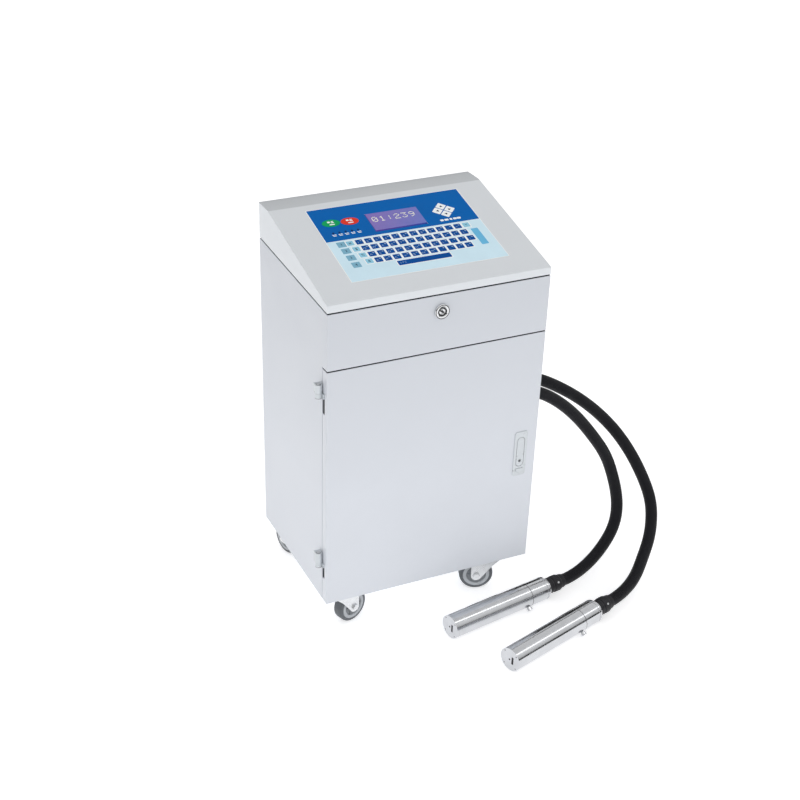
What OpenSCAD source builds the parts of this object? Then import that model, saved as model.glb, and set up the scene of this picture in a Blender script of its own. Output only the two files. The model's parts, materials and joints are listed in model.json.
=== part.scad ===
// Date coder: a floor cabinet on four casters with a hinged control console on top
// and two tubular print heads on umbilical hoses.
// Millimetres, +Z up, the front faces -Y, X runs to the right as seen from the front.
// The origin is on the floor under the middle of the cabinet.

/* [Cabinet] */
// Width of the cabinet
cab_w = 430; // [426:1:434]
// Depth of the cabinet over the closed door
cab_d = 324; // [322:1:328]
// Height of the cabinet's base above the floor
base_z = 96; // [96:1:100]
// Height of the joint between door and fascia
split_z = 591; // [588:1:594]
// Thickness of the folded cabinet sheet
sheet = 2; // [1.5:0.5:2]
// Thickness of the door pan
door_t = 20; // [18:1:20]

/* [Console] */
// Height of the console's seam at the front
seam_front = 700; // [699:1:702]
// Height of the console's seam at the back
seam_back = 716.5; // [715.5:0.5:718]
// Height of the console's front edge
lid_edge = 715.8; // [715:0.2:718]
// Height of the flat strip along the console's back
lid_top = 785.7; // [782:0.1:790]
// Depth position of the crease between slope and back strip
crease_y = 117.5; // [112:0.5:122]
// Width of the key overlay
overlay_w = 306; // [300:1:310]
// Length of the key overlay along the slope
overlay_l = 218; // [214:1:220]

/* [Casters] */
// Radius of a caster wheel
wheel_r = 34; // [32:0.5:34]
// Width of a caster wheel's tread
wheel_w = 22; // [20:1:22]
// Distance from swivel axis to axle
trail = 22; // [20:1:24]
// Swivel angle that each caster stands at: front left, front right, back left, back right
caster_yaw = [20, 160, 104, 35]; // [0:1:359]

/* [Print heads] */
// Outside radius of a print head
head_r = 24; // [23.5:0.1:24]
// Length of a print head without its hose fitting
head_l = 235; // [233:1:238]
// Length of the sliding cover with its front cap
cover_l = 188; // [186:1:190]
// Outside radius of an umbilical hose
hose_r = 12; // [11.5:0.5:12.5]

/* [Hidden] */

x_side = cab_w / 2;
y_front = -cab_d / 2;
y_back = cab_d / 2;
door_gap = 2;
shell_front = y_front + door_t + door_gap;
seam_gap = 2.6;
part_gap = 0.3;
rim_front = seam_front - seam_gap / 2;
rim_back = seam_back - seam_gap / 2;
seam_slope = (seam_back - seam_front) / cab_d;
lid_t = 2.5;
slope_a = atan((lid_top - lid_edge) / (crease_y - y_front));
fit = 0.05;

// Colours
paint = [0.84, 0.86, 0.89];
lid_paint = [0.80, 0.81, 0.83];
zinc = [0.72, 0.73, 0.75];
steel = [0.78, 0.79, 0.81];
black = [0.10, 0.10, 0.11];
dark_grey = [0.26, 0.27, 0.29];
overlay_blue = [0.05, 0.33, 0.62];
board_green = [0.08, 0.35, 0.20];
tyre_grey = [0.42, 0.44, 0.46];

// Box between two opposite corners.
module block(a, b) {
    translate(a) cube(b - a);
}

// Outline given as depth and height points, extruded across the width.
module across(points, x0, x1) {
    translate([x0, 0, 0]) rotate([90, 0, 90]) linear_extrude(x1 - x0) polygon(points);
}

// Cylinders along the three axes, each starting at the given point.
module rod_x(p, r, l, n = 48) {
    translate(p) rotate([0, 90, 0]) cylinder(r = r, h = l, $fn = n);
}
module rod_y(p, r, l, n = 48) {
    translate(p) rotate([-90, 0, 0]) cylinder(r = r, h = l, $fn = n);
}
module rod_z(p, r, l, n = 48) {
    translate(p) cylinder(r = r, h = l, $fn = n);
}

// Flat rectangle with round corners, centred.
module round_rect(w, h, r) {
    square([w - 2 * r, h], center = true);
    square([w, h - 2 * r], center = true);
    for (x = [-1, 1], y = [-1, 1]) translate([x * (w / 2 - r), y * (h / 2 - r)]) circle(r = r, $fn = 32);
}

// Plate facing the front or back: an outline in width and height, extruded along +Y.
module upright(p, l) {
    translate(p + [0, l, 0]) rotate([90, 0, 0]) linear_extrude(l) children();
}

// Frame on the console's slope: x across, y up the slope, z out of the panel.
module on_slope() {
    translate([0, y_front, lid_edge]) rotate([slope_a, 0, 0]) children();
}

// Tube through a list of points, with elbows a little thicker than the tube.
module pipe(points, r) {
    elbow = 0.6;
    for (i = [0 : len(points) - 2]) {
        v = points[i + 1] - points[i];
        translate(points[i]) rotate([0, acos(v[2] / norm(v)), atan2(v[1], v[0])])
            cylinder(r = r, h = norm(v), $fn = 20);
    }
    for (i = [1 : len(points) - 2]) translate(points[i]) sphere(r = r + elbow, $fn = 20);
}

// ---------------------------------------------------------------- cabinet

open_x = 190;
open_z = [120, 566];
top_inset = [16, 7, 16];

gland_y = [-60, 5];
gland_z = 405;
gland_hole_r = 12.6;

fan_at = [130, 0, 420];
fan_w = 92;
fan_bore = 44;
inlet_at = [-140, 0, 430];
inlet_w = 44;
inlet_h = 60;
socket_x = [-60, -30, 0];
socket_z = 415;
lock_z = 668.7;
lock_r = 9;

shell_outline = [
    [shell_front, base_z], [y_back, base_z], [y_back, rim_back],
    [y_front, rim_front], [y_front, split_z + 1], [shell_front, split_z + 1]
];
shell_cavity = [
    [shell_front + sheet, base_z + sheet], [y_back - sheet, base_z + sheet],
    [y_back - sheet, rim_back - sheet], [y_front + sheet, rim_front - sheet],
    [y_front + sheet, split_z + 1 + sheet], [shell_front + sheet, split_z + 1 + sheet]
];

module cabinet_shell() {
    color(paint) difference() {
        across(shell_outline, -x_side, x_side);
        across(shell_cavity, -x_side + sheet, x_side - sheet);
        // opening under the console
        block([-x_side + top_inset[0], y_front + top_inset[1], rim_front - 8],
              [x_side - top_inset[0], y_back - top_inset[2], rim_back + 2]);
        // door opening
        block([-open_x, shell_front - 1, open_z[0]], [open_x, shell_front + sheet + 1, open_z[1]]);
        for (y = gland_y) rod_x([x_side - sheet - 1, y, gland_z], gland_hole_r, sheet + 2);
        rod_y([0, y_front - 1, lock_z], lock_r + fit, sheet + 2);
        // openings in the back for the fan and the power inlet
        rod_y(fan_at + [0, y_back - sheet - 1, 0], fan_bore, sheet + 2);
        block(inlet_at + [-inlet_w / 2, y_back - sheet - 1, -inlet_h / 2],
              inlet_at + [inlet_w / 2, y_back + 1, inlet_h / 2]);
    }
}

// Rubber strip in the dark seam under the console.
module top_gasket() {
    lip = seam_gap - part_gap;
    edge = 1.5;
    function rim_z(y) = rim_front + (y - y_front) * seam_slope;
    y0 = y_front + edge;
    y1 = y_back - edge;
    color(black) difference() {
        across([[y0, rim_z(y0)], [y1, rim_z(y1)], [y1, rim_z(y1) + lip], [y0, rim_z(y0) + lip]],
               -x_side + edge, x_side - edge);
        block([-x_side + top_inset[0], y_front + top_inset[1], rim_front - 8],
              [x_side - top_inset[0], y_back - top_inset[2], rim_back + 8]);
    }
}

// Foam strip round the door opening.
module door_gasket() {
    w = 12;
    thick = door_gap - part_gap;
    color(dark_grey) difference() {
        block([-open_x - w - 2, shell_front - thick, open_z[0] - w],
              [open_x + w + 2, shell_front, open_z[1] + w]);
        block([-open_x - 2, shell_front - thick - 1, open_z[0] - 2],
              [open_x + 2, shell_front + 1, open_z[1] + 2]);
    }
}

// ---------------------------------------------------------------- hinges

// Door hinges stand outside the left side, on the joint between door and shell.
door_axis = [-x_side - 7, shell_front - 1];
door_knuckle_r = 6.5;
hood_d = 8;
pin_r = 2.5;
leaf_t = 2.5;
// Bottom of the door's knuckle, split height and top of the fixed knuckle, for each hinge
door_hinges = [[534, 543, 560], [174.5, 183, 205]];

// Console hinges stand outside the back.
lid_axis = [y_back + 6.5, seam_back];
lid_knuckle_r = 5;
lid_hinge_x = [-140, 140];
lid_leaf_w = 60;
lid_leaf_h = 42;
lid_knuckle_w = 19;

module hinge_leaves() {
    color(zinc) {
        for (h = door_hinges) difference() {
            union() {
                rod_z([door_axis[0], door_axis[1], h[1]], door_knuckle_r, h[2] - h[1]);
                block([door_axis[0] - door_knuckle_r, door_axis[1], h[1]],
                      [-x_side, shell_front + hood_d, h[2]]);
            }
            rod_z([door_axis[0], door_axis[1], h[1] - 1], pin_r + fit, h[2] - h[1] + 2);
        }
        for (x = lid_hinge_x) difference() {
            union() {
                block([x - lid_leaf_w / 2, y_back, lid_axis[1] - lid_leaf_h],
                      [x + lid_leaf_w / 2, y_back + leaf_t, lid_axis[1] - 6]);
                for (s = [-1, 1]) {
                    x0 = x + s * (lid_leaf_w / 4 + lid_knuckle_w / 4 + 0.25);
                    half = (lid_leaf_w - lid_knuckle_w - 1) / 4;
                    rod_x([x0 - half, lid_axis[0], lid_axis[1]], lid_knuckle_r, 2 * half);
                    block([x0 - half, y_back, lid_axis[1] - 8],
                          [x0 + half, y_back + leaf_t, lid_axis[1]]);
                }
            }
            rod_x([x - lid_leaf_w / 2 - 1, lid_axis[0], lid_axis[1]], pin_r + fit, lid_leaf_w + 2);
        }
    }
}

// Pins with a thin head at each end.
module hinge_pins() {
    head = 1.6;
    color(steel) {
        for (h = door_hinges) {
            rod_z([door_axis[0], door_axis[1], h[0] - part_gap], pin_r, h[2] - h[0] + part_gap);
            rod_z([door_axis[0], door_axis[1], h[2]], pin_r + 1.4, head);
            rod_z([door_axis[0], door_axis[1], h[0] - part_gap - head], pin_r + 1.4, head);
        }
        for (x = lid_hinge_x) {
            rod_x([x - lid_leaf_w / 2 - head, lid_axis[0], lid_axis[1]], pin_r, lid_leaf_w + 2 * head);
            for (s = [-1, 1])
                rod_x([x + s * (lid_leaf_w / 2 + head / 2) - head / 2, lid_axis[0], lid_axis[1]],
                      pin_r + 1.4, head);
        }
    }
}

// ---------------------------------------------------------------- inside, electronics

shelf_z = 350;

module equipment_shelf() {
    x1 = x_side - sheet;
    color(zinc) difference() {
        union() {
            block([-x1, -125, shelf_z], [x1, y_back - sheet, shelf_z + sheet]);
            block([-x1, -125, shelf_z - 15], [x1, -125 + sheet, shelf_z]);
        }
        // slot that the hose cores drop through
        block([178, -75, shelf_z - 1], [206, 20, shelf_z + sheet + 1]);
    }
}

module power_supply() {
    z0 = shelf_z + sheet;
    color(zinc) difference() {
        block([-195, -40, z0], [-90, 110, z0 + 50]);
        for (i = [0 : 6]) block([-182, -26 + i * 18, z0 + 44], [-103, -18 + i * 18, z0 + 51]);
    }
    color(dark_grey) block([-90, -30, z0 + 4], [-78, 60, z0 + 20]);
}

module main_board() {
    y0 = y_back - sheet - 14;
    color(board_green) block([-120, y0 - 1.6, 475], [120, y0, 645]);
    color(steel) for (x = [-112, 112], z = [483, 637]) rod_y([x, y0, z], 3, 14);
    color(dark_grey) {
        block([-20, y0 - 5, 560], [20, y0 - 1.6, 600]);
        block([-80, y0 - 4, 570], [-50, y0 - 1.6, 600]);
        block([60, y0 - 4, 530], [90, y0 - 1.6, 550]);
        for (i = [0 : 4]) block([-105 + i * 42, y0 - 12, 478], [-75 + i * 42, y0 - 1.6, 488]);
    }
    color(steel) for (i = [0 : 5]) block([48 + i * 8, y0 - 24, 580], [51 + i * 8, y0 - 1.6, 632]);
}

module hv_module() {
    z0 = shelf_z + sheet;
    color(black) block([-50, 40, z0], [40, 110, z0 + 48]);
    color(steel) for (x = [-30, 0, 20]) rod_z([x, 75, z0 + 48], 5, 10);
}

module fan_frame() {
    y0 = y_back - sheet - 25;
    half = fan_w / 2;
    color(black) {
        difference() {
            block(fan_at + [-half, y0, -half], fan_at + [half, y0 + 25, half]);
            rod_y(fan_at + [0, y0 - 1, 0], fan_bore, 27, 96);
        }
        rod_y(fan_at + [0, y0 + 21, 0], 17, 4);
        for (a = [45 : 90 : 315]) translate(fan_at) rotate([0, a, 0])
            block([12, y0 + 21.5, -2], [fan_bore + 1, y0 + 24.5, 2]);
    }
}

module fan_impeller() {
    y0 = y_back - sheet - 25;
    color(dark_grey) {
        rod_y(fan_at + [0, y0 + 1, 0], 16, 19.5);
        for (i = [0 : 6]) translate(fan_at + [0, y0 + 10.5, 0]) rotate([0, i * 360 / 7, 0])
            rotate([38, 0, 0]) block([14, -0.8, -11], [41.5, 0.8, 11]);
    }
}

module vent_grille() {
    half = 52;
    color(dark_grey) difference() {
        block(fan_at + [-half, y_back, -half], fan_at + [half, y_back + 1.5, half]);
        for (i = [-4 : 4])
            block(fan_at + [-40, y_back - 1, i * 9 - 2.5], fan_at + [40, y_back + 3, i * 9 + 2.5]);
    }
}

rocker_at = [inlet_at[0], y_back - 3, inlet_at[2] + 16];

module power_inlet() {
    color(black) difference() {
        union() {
            block(inlet_at + [-25, y_back, -35], inlet_at + [25, y_back + 2.5, 35]);
            block(inlet_at + [-inlet_w / 2, y_back - 32, -inlet_h / 2],
                  inlet_at + [inlet_w / 2, y_back, inlet_h / 2]);
        }
        // socket recess and rocker window
        block(inlet_at + [-13.5, y_back - 16, -25], inlet_at + [13.5, y_back + 4, -5]);
        block(rocker_at + [-7, -9, -11.4], rocker_at + [7, 8, 11.4]);
    }
    color(zinc) for (p = [[-7, -17], [0, -12], [7, -17]])
        block(inlet_at + [p[0] - 1, y_back - 16.5, p[1] - 2], inlet_at + [p[0] + 1, y_back - 3, p[1] + 2]);
}

rocker_tilt = 8;

// The rocker is drawn in its off position.
module power_rocker() {
    color("firebrick") translate(rocker_at) rotate([-rocker_tilt, 0, 0]) {
        across([[-6, -9.5], [5.5, -10], [3.5, 0], [5.5, 10], [-6, 9.5]], -6.5, 6.5);
        rod_x([-6.9, 0, 0], 1.5, 13.8, 32);
    }
}

module signal_sockets() {
    color(zinc) for (x = socket_x) difference() {
        union() {
            block([x - 12, y_back, socket_z - 12], [x + 12, y_back + 2, socket_z + 12]);
            rod_y([x, y_back + 2, socket_z], 9, 7);
        }
        rod_y([x, y_back + 3, socket_z], 7, 7);
    }
    color(black) for (x = socket_x) rod_y([x, y_back + 3, socket_z], 5, 4);
}

// ---------------------------------------------------------------- inside, ink system

ink_z = base_z + sheet + 3;

module drip_tray() {
    z0 = base_z + sheet;
    color(zinc) difference() {
        block([-188, -125, z0], [188, 135, z0 + 18]);
        block([-186, -123, ink_z - 1], [186, 133, z0 + 19]);
    }
}

module ink_tank() {
    z0 = ink_z - 1;
    color(black) {
        block([-180, 0, z0], [-75, 120, z0 + 150]);
        rod_z([-150, 85, z0 + 150], 24, 14);
        for (p = [[-100, 100], [-130, 30], [-150, 30]]) rod_z([p[0], p[1], z0 + 150], 6, 8);
    }
}

// Service bottle with shoulder, neck and screw cap, standing on the tray.
module bottle(x, y, tint) {
    z0 = ink_z - 1;
    color(tint) {
        translate([x, y, z0]) linear_extrude(138) round_rect(76, 76, 12);
        translate([x, y, z0 + 138]) cylinder(r1 = 36, r2 = 17, h = 14, $fn = 64);
    }
    color(dark_grey) rod_z([x, y, z0 + 152], 19, 20);
}
module ink_bottle() bottle(-20, -25, [0.16, 0.16, 0.18]);
module solvent_bottle() bottle(70, -25, [0.86, 0.88, 0.90]);

module filters() {
    for (y = [25, 105]) {
        color([0.82, 0.84, 0.86]) rod_z([150, y, 240], 27, 90, 64);
        color(dark_grey) rod_z([150, y, 330], 30, 20, 64);
    }
}

module ink_pump() {
    z0 = ink_z - 1;
    color(steel) block([115, 25, z0], [185, 95, z0 + 50]);
    color(black) rod_z([150, 60, z0 + 50], 29, 82, 64);
}

module valve_manifold() {
    color(zinc) {
        block([-50, 115, 200], [100, 145, 240]);
        for (x = [-40, 85]) block([x - 8, 145, 190], [x + 8, y_back - sheet, 250]);
    }
    color(dark_grey) for (i = [0 : 4]) rod_z([-35 + i * 30, 130, 240], 11, 44);
    color(steel) for (i = [0 : 4]) rod_z([-35 + i * 30, 130, 284], 3.5, 5);
}

module ink_tubes() {
    bore_x = x_side - sheet - 9;
    color([0.70, 0.74, 0.78]) {
        pipe([[bore_x, 5, gland_z], [192, 5, gland_z], [192, 5, 225], [192, 130, 225], [100, 130, 225]], 3);
        pipe([[bore_x, -60, gland_z], [184, -60, gland_z], [184, -60, 212],
              [194, -40, 205], [194, 138, 205], [100, 138, 205]], 3);
        pipe([[-75, 60, 128], [115, 60, 128]], 3);
        pipe([[120, 105, 342], [110, 105, 342], [110, 120, 342], [110, 120, 232], [100, 120, 232]], 3);
        pipe([[-100, 100, 258], [-100, 100, 272], [-100, 130, 272], [-100, 130, 220], [-50, 130, 220]], 3);
        pipe([[-20, -25, 272], [-20, -25, 296], [-130, -25, 296], [-130, 30, 296], [-130, 30, 258]], 3);
        pipe([[70, -25, 272], [70, -25, 312], [-150, -25, 312], [-150, 30, 312], [-150, 30, 258]], 3);
    }
}

// ---------------------------------------------------------------- hose glands

gland_end = x_side + 33;

module hose_glands() {
    color(black) for (y = gland_y) {
        rod_x([x_side - sheet - 3, y, gland_z], gland_hole_r - fit, sheet + 3);
        rod_x([x_side - sheet - 9, y, gland_z], 17, 9 - 0.02, 6);
        rod_x([x_side, y, gland_z], 19, 4);
        rod_x([x_side + 4, y, gland_z], 19, 13, 6);
        translate([x_side + 17, y, gland_z]) rotate([0, 90, 0])
            cylinder(r1 = 16.5, r2 = 13.5, h = gland_end - x_side - 17, $fn = 48);
    }
}

// ---------------------------------------------------------------- lid lock

lock_plug_r = 6;
cam_y = y_front + 20.5;
cam_t = 3;
cam_l = 26;

module lock_housing() {
    color(steel) difference() {
        union() {
            rod_y([0, y_front - 3.5, lock_z], 14, 3.5, 64);
            rod_y([0, y_front, lock_z], lock_r, 20);
            rod_y([0, y_front + sheet, lock_z], 14, 5, 6);
        }
        rod_y([0, y_front - 5, lock_z], lock_plug_r, 30);
    }
}

// Plug and cam; the cam points up when the lid is free.
module lock_plug() {
    color(zinc) difference() {
        rod_y([0, y_front - 3, lock_z], lock_plug_r - fit, 23.5);
        block([-0.6, y_front - 4, lock_z - 3.5], [0.6, y_front + 5, lock_z + 3.5]);
    }
    color(steel) {
        upright([0, cam_y, lock_z], cam_t) {
            circle(r = 8, $fn = 48);
            translate([-6, 0]) square([12, cam_l]);
        }
        rod_y([0, cam_y + cam_t, lock_z], 4, 2);
    }
}

// ---------------------------------------------------------------- console

lcd_at = [3.5, 205.5];
lcd_w = 107;
lcd_h = 56;
overlay_at = [3, 49 + overlay_l / 2];
overlay_t = 0.8;

function inner_z(y) = lid_edge + (y - y_front) * tan(slope_a) - lid_t / cos(slope_a);

lid_outline = [
    [y_front, seam_front + seam_gap / 2], [y_front, lid_edge], [crease_y, lid_top],
    [y_back, lid_top], [y_back, seam_back + seam_gap / 2]
];
lid_cavity = [
    [y_front + lid_t, seam_front - 5], [y_front + lid_t, inner_z(y_front + lid_t)],
    [crease_y + (1 / cos(slope_a) - 1) * lid_t / tan(slope_a), lid_top - lid_t],
    [y_back - lid_t, lid_top - lid_t], [y_back - lid_t, seam_front - 5]
];

module lid_shell() {
    color(lid_paint) difference() {
        across(lid_outline, -x_side, x_side);
        across(lid_cavity, -x_side + lid_t, x_side - lid_t);
        // window behind the display
        on_slope() translate([lcd_at[0], lcd_at[1], 0]) cube([lcd_w, lcd_h, 12], center = true);
    }
}

module lid_hinge_leaves() {
    color(zinc) for (x = lid_hinge_x) difference() {
        union() {
            block([x - lid_leaf_w / 2, y_back, lid_axis[1] + 6],
                  [x + lid_leaf_w / 2, y_back + leaf_t, lid_axis[1] + lid_leaf_h]);
            rod_x([x - lid_knuckle_w / 2, lid_axis[0], lid_axis[1]], lid_knuckle_r, lid_knuckle_w);
            block([x - lid_knuckle_w / 2, y_back + 0.2, lid_axis[1]],
                  [x + lid_knuckle_w / 2, y_back + leaf_t, lid_axis[1] + 8]);
        }
        rod_x([x - lid_leaf_w / 2, lid_axis[0], lid_axis[1]], pin_r + fit, lid_leaf_w);
    }
}

module key_overlay() {
    color(overlay_blue) on_slope() linear_extrude(overlay_t) difference() {
        translate(overlay_at) round_rect(overlay_w, overlay_l, 4);
        translate(lcd_at) round_rect(lcd_w - 4, lcd_h - 4, 2);
    }
}

module lcd_module() {
    color([0.35, 0.31, 0.67]) on_slope() translate([lcd_at[0], lcd_at[1], 0])
        block([-lcd_w / 2 + 2.5, -lcd_h / 2 + 2.5, -6], [lcd_w / 2 - 2.5, lcd_h / 2 - 2.5, 0.5]);
    color(dark_grey) on_slope() translate([lcd_at[0], lcd_at[1], 0])
        block([-lcd_w / 2 - 6, -lcd_h / 2 - 5, -11], [lcd_w / 2 + 6, lcd_h / 2 + 5, -lid_t - 0.2]);
}

module keypad_board() {
    color(board_green) on_slope() block([-145, 60, -16], [145, 255, -14.4]);
    color(steel) on_slope() for (x = [-138, 138], y = [67, 248])
        translate([x, y, -14.4]) cylinder(r = 3, h = 14.4 - lid_t, $fn = 24);
    color(dark_grey) on_slope() {
        block([-30, 90, -19], [10, 130, -16]);
        block([40, 80, -18.5], [70, 100, -16]);
        block([-110, 90, -26], [-60, 100, -16]);
        block([60, 200, -25], [120, 210, -16]);
    }
}

// Bracket under the console whose forward lip goes under the lock's cam.
module lid_catch() {
    y0 = cam_y + cam_t + 2.5;
    lip_z = lock_z - 6.5;
    lip = 2.5;
    color(zinc) across([
        [y0 - 10, lip_z - lip], [y0 + 2, lip_z - lip], [y0 + 2, inner_z(y0 + 2) - lip],
        [y0 + 16, inner_z(y0 + 16) - lip], [y0 + 16, inner_z(y0 + 16)], [y0, inner_z(y0)],
        [y0, lip_z], [y0 - 10, lip_z]
    ], 9, 33);
}

// ---------------------------------------------------------------- door

door_sheet = 1.5;
door_z = [base_z + 1, split_z - 1.5];
latch_x = 182;
latch_z = 338.5;
latch_w = 27;
latch_h = 96;
body_w = 22;
body_h = 88;
hinge_slot_w = 9.5;
hinge_slot_l = [32, 26.5];

module door_pan() {
    color(paint) difference() {
        block([-x_side, y_front, door_z[0]], [x_side, y_front + door_t, door_z[1]]);
        block([-x_side + door_sheet, y_front + door_sheet, door_z[0] + door_sheet],
              [x_side - door_sheet, y_front + door_t - door_sheet, door_z[1] - door_sheet]);
        block([-x_side + 15, y_front + door_t - 5, door_z[0] + 15],
              [x_side - 15, y_front + door_t + 1, door_z[1] - 15]);
        upright([latch_x, y_front - 1, latch_z], 5) square([body_w, body_h], center = true);
        // slot in the rear left edge below each hinge
        for (i = [0, 1])
            block([-x_side - 1, y_front + door_t - hinge_slot_w, door_hinges[i][0] - hinge_slot_l[i]],
                  [-x_side + 4, y_front + door_t + 1, door_hinges[i][0]]);
    }
}

module door_hinge_leaves() {
    color(zinc) for (h = door_hinges) {
        z1 = h[1] - part_gap;
        difference() {
            union() {
                block([-x_side - leaf_t, y_front + 10, h[0]], [-x_side, door_axis[1], z1]);
                rod_z([door_axis[0], door_axis[1], h[0]], door_knuckle_r, z1 - h[0]);
                block([door_axis[0], door_axis[1] - 3, h[0]], [-x_side - 0.5, door_axis[1], z1]);
            }
            rod_z([door_axis[0], door_axis[1], h[0] - 1], pin_r + fit, z1 - h[0] + 2);
        }
    }
}

paddle_top = 365.9;
paddle_low = 319.1;
paddle_r = 7.6;
paddle_t = 4;
pocket_r = 8.4;
plate_y = y_front - 1.5;
pivot_y = plate_y + 2;
pivot_r = 1.5;
key_z = 323;
plug_r = 5;

module pill(r) {
    for (z = [paddle_low, paddle_top]) translate([latch_x, z]) circle(r = r, $fn = 48);
    translate([latch_x - r, paddle_low]) square([2 * r, paddle_top - paddle_low]);
}

// Shield outline of the push button, widened by g.
module shield(g) {
    translate([latch_x, 301]) polygon([
        [-7.5 - g, 5.2 + g], [7.5 + g, 5.2 + g], [7.5 + g, 0.5 - g / 2],
        [0, -5.5 - g * 1.3], [-7.5 - g, 0.5 - g / 2]
    ]);
}

module latch_bezel() {
    color(steel) {
        difference() {
            union() {
                upright([latch_x, plate_y, latch_z], 1.5) round_rect(latch_w, latch_h, 5);
                upright([latch_x, y_front, latch_z], 16) square([body_w - 0.4, body_h - 0.4], center = true);
            }
            upright([0, plate_y - 1, 0], 12.5) pill(pocket_r);
            upright([0, plate_y - 1, 0], 14) shield(0.4);
            rod_x([latch_x - 10, pivot_y, paddle_top], pivot_r + fit, 20);
            rod_y([latch_x, y_front, key_z], plug_r, 20);
        }
        // tower that holds the key plug behind the paddle
        difference() {
            rod_y([latch_x, y_front + 3.1, key_z], 7, 8);
            rod_y([latch_x, y_front, key_z], plug_r, 20);
        }
    }
}

module latch_paddle() {
    color(steel) {
        difference() {
            upright([0, plate_y, 0], paddle_t) pill(paddle_r);
            rod_y([latch_x, plate_y - 1, key_z], 3, paddle_t + 2);
        }
        rod_x([latch_x - 9.5, pivot_y, paddle_top], pivot_r, 19);
    }
}

module latch_button() {
    color(zinc) upright([0, plate_y - 1, 0], 9.5) shield(0);
}

// Key plug and cam; the cam hangs down when the door is free.
module latch_cam() {
    y0 = y_front + 25;
    color(zinc) difference() {
        rod_y([latch_x, y_front + 3, key_z], plug_r - fit, 22);
        block([latch_x - 0.6, y_front + 2, key_z - 3], [latch_x + 0.6, y_front + 8, key_z + 3]);
    }
    color(steel) upright([latch_x, y0, key_z], 3) {
        circle(r = 7, $fn = 48);
        translate([-5, -27]) square([10, 27]);
    }
}

// ---------------------------------------------------------------- casters

caster_x = 160;
caster_y = [-108, 139];
caster_xy = [for (y = caster_y, sx = [-1, 1]) [sx * caster_x, y]];
plate_t = 3;
plate_w = 60;
plate_d = 46;
race_z = base_z - 9;
crown_z = race_z - 8;
king_r = 4;
axle_r = 4;

module caster_plates() {
    color(zinc) for (p = caster_xy) {
        translate([p[0], p[1], base_z - plate_t]) linear_extrude(plate_t) round_rect(plate_w, plate_d, 5);
        rod_z([p[0], p[1], race_z], 22, base_z - plate_t - race_z);
        rod_z([p[0], p[1], crown_z - 3.5], king_r, 3.5 + race_z - crown_z);
        rod_z([p[0], p[1], crown_z - 3.5], 7, 3.2);
    }
}

// Fork in the frame of its swivel axis; the wheel trails towards +X.
module fork(i) {
    p = caster_xy[i];
    inner = wheel_w / 2 + 1.6;
    leg = 2.5;
    hood_x = -32;
    hood_z = 79;
    top = crown_z + 4;
    color(zinc) translate([p[0], p[1], 0]) rotate([0, 0, caster_yaw[i]]) {
        difference() {
            union() {
                rod_z([0, 0, crown_z], 20, race_z - part_gap - crown_z);
                for (s = [-1, 1]) upright([0, s * (inner + leg / 2) - leg / 2, 0], leg) {
                    translate([trail, wheel_r]) circle(r = 11, $fn = 48);
                    polygon([[hood_x, hood_z], [hood_x, top], [trail + 2, top], [trail + 11, wheel_r + 18],
                             [trail + 11, wheel_r], [trail - 8, wheel_r - 7.5], [-10, 58]]);
                }
                // hood that joins the legs behind the swivel
                block([hood_x, -inner - leg, hood_z], [hood_x + leg, inner + leg, top]);
                block([hood_x, -inner - leg, top - leg], [0, inner + leg, top]);
            }
            rod_z([0, 0, crown_z - 1], king_r + fit, 20);
            rod_y([trail, -30, wheel_r], axle_r + fit, 60);
        }
        rod_y([trail, -inner - leg - 1, wheel_r], axle_r, 2 * (inner + leg + 1));
        rod_y([trail, inner + leg + 0.02, wheel_r], 7, 4, 6);
        rod_y([trail, -inner - leg - 4.02, wheel_r], 7, 4, 6);
    }
}

module wheel(i) {
    p = caster_xy[i];
    half = wheel_w / 2;
    color(tyre_grey) translate([p[0], p[1], 0]) rotate([0, 0, caster_yaw[i]])
        translate([trail, 0, wheel_r]) rotate([90, 0, 0]) rotate_extrude($fn = 96) polygon([
            [axle_r + fit, -half - 1], [11, -half - 1], [11, -half + 1], [20, -half + 1],
            [22, -half], [27, -half], [wheel_r, -half + 4], [wheel_r, half - 4], [27, half],
            [22, half], [20, half - 1], [11, half - 1], [11, half + 1], [axle_r + fit, half + 1]
        ]);
}

module fork_fl() fork(0);
module fork_fr() fork(1);
module fork_bl() fork(2);
module fork_br() fork(3);
module wheel_fl() wheel(0);
module wheel_fr() wheel(1);
module wheel_bl() wheel(2);
module wheel_br() wheel(3);

// ---------------------------------------------------------------- print heads

// Middle of each front cap on the plan, and the direction of the head's back end
head_xy = [[15, -232], [74, -362]];
head_yaw = [10, 17];
floor_gap = 0.5;
head_z = head_r + floor_gap;
cover_wall = 1.6;
cap_t = 5;
cover_bore = head_r - cover_wall;
block_r = 23.7;
block_edge = 1.5;
groove_at = head_l - 8;
collar_r = 18.5;
collar_l = 5;
fitting_l = 47;
fitting_r = 16.5;
fitting_edge = 2;
screw_at = cover_l - 8;
screw_a = 32;

// Frame of head i: +X from the front cap to the back end, +Z up.
module at_head(i) {
    translate([head_xy[i][0], head_xy[i][1], head_z]) rotate([0, 0, head_yaw[i]]) children();
}
function along_head(i, d) =
    [head_xy[i][0] + d * cos(head_yaw[i]), head_xy[i][1] + d * sin(head_yaw[i]), head_z];

// Cover tube, open at both ends.
module head_cover(i) {
    color(steel) at_head(i) difference() {
        rod_x([cap_t, 0, 0], head_r, cover_l - cap_t, 96);
        rod_x([cap_t - 1, 0, 0], cover_bore, cover_l, 96);
        rotate([screw_a, 0, 0]) rod_y([screw_at, -head_r - 2, 0], 2.5 + fit, 8);
    }
}
module head_cover_1() head_cover(0);
module head_cover_2() head_cover(1);

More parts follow.
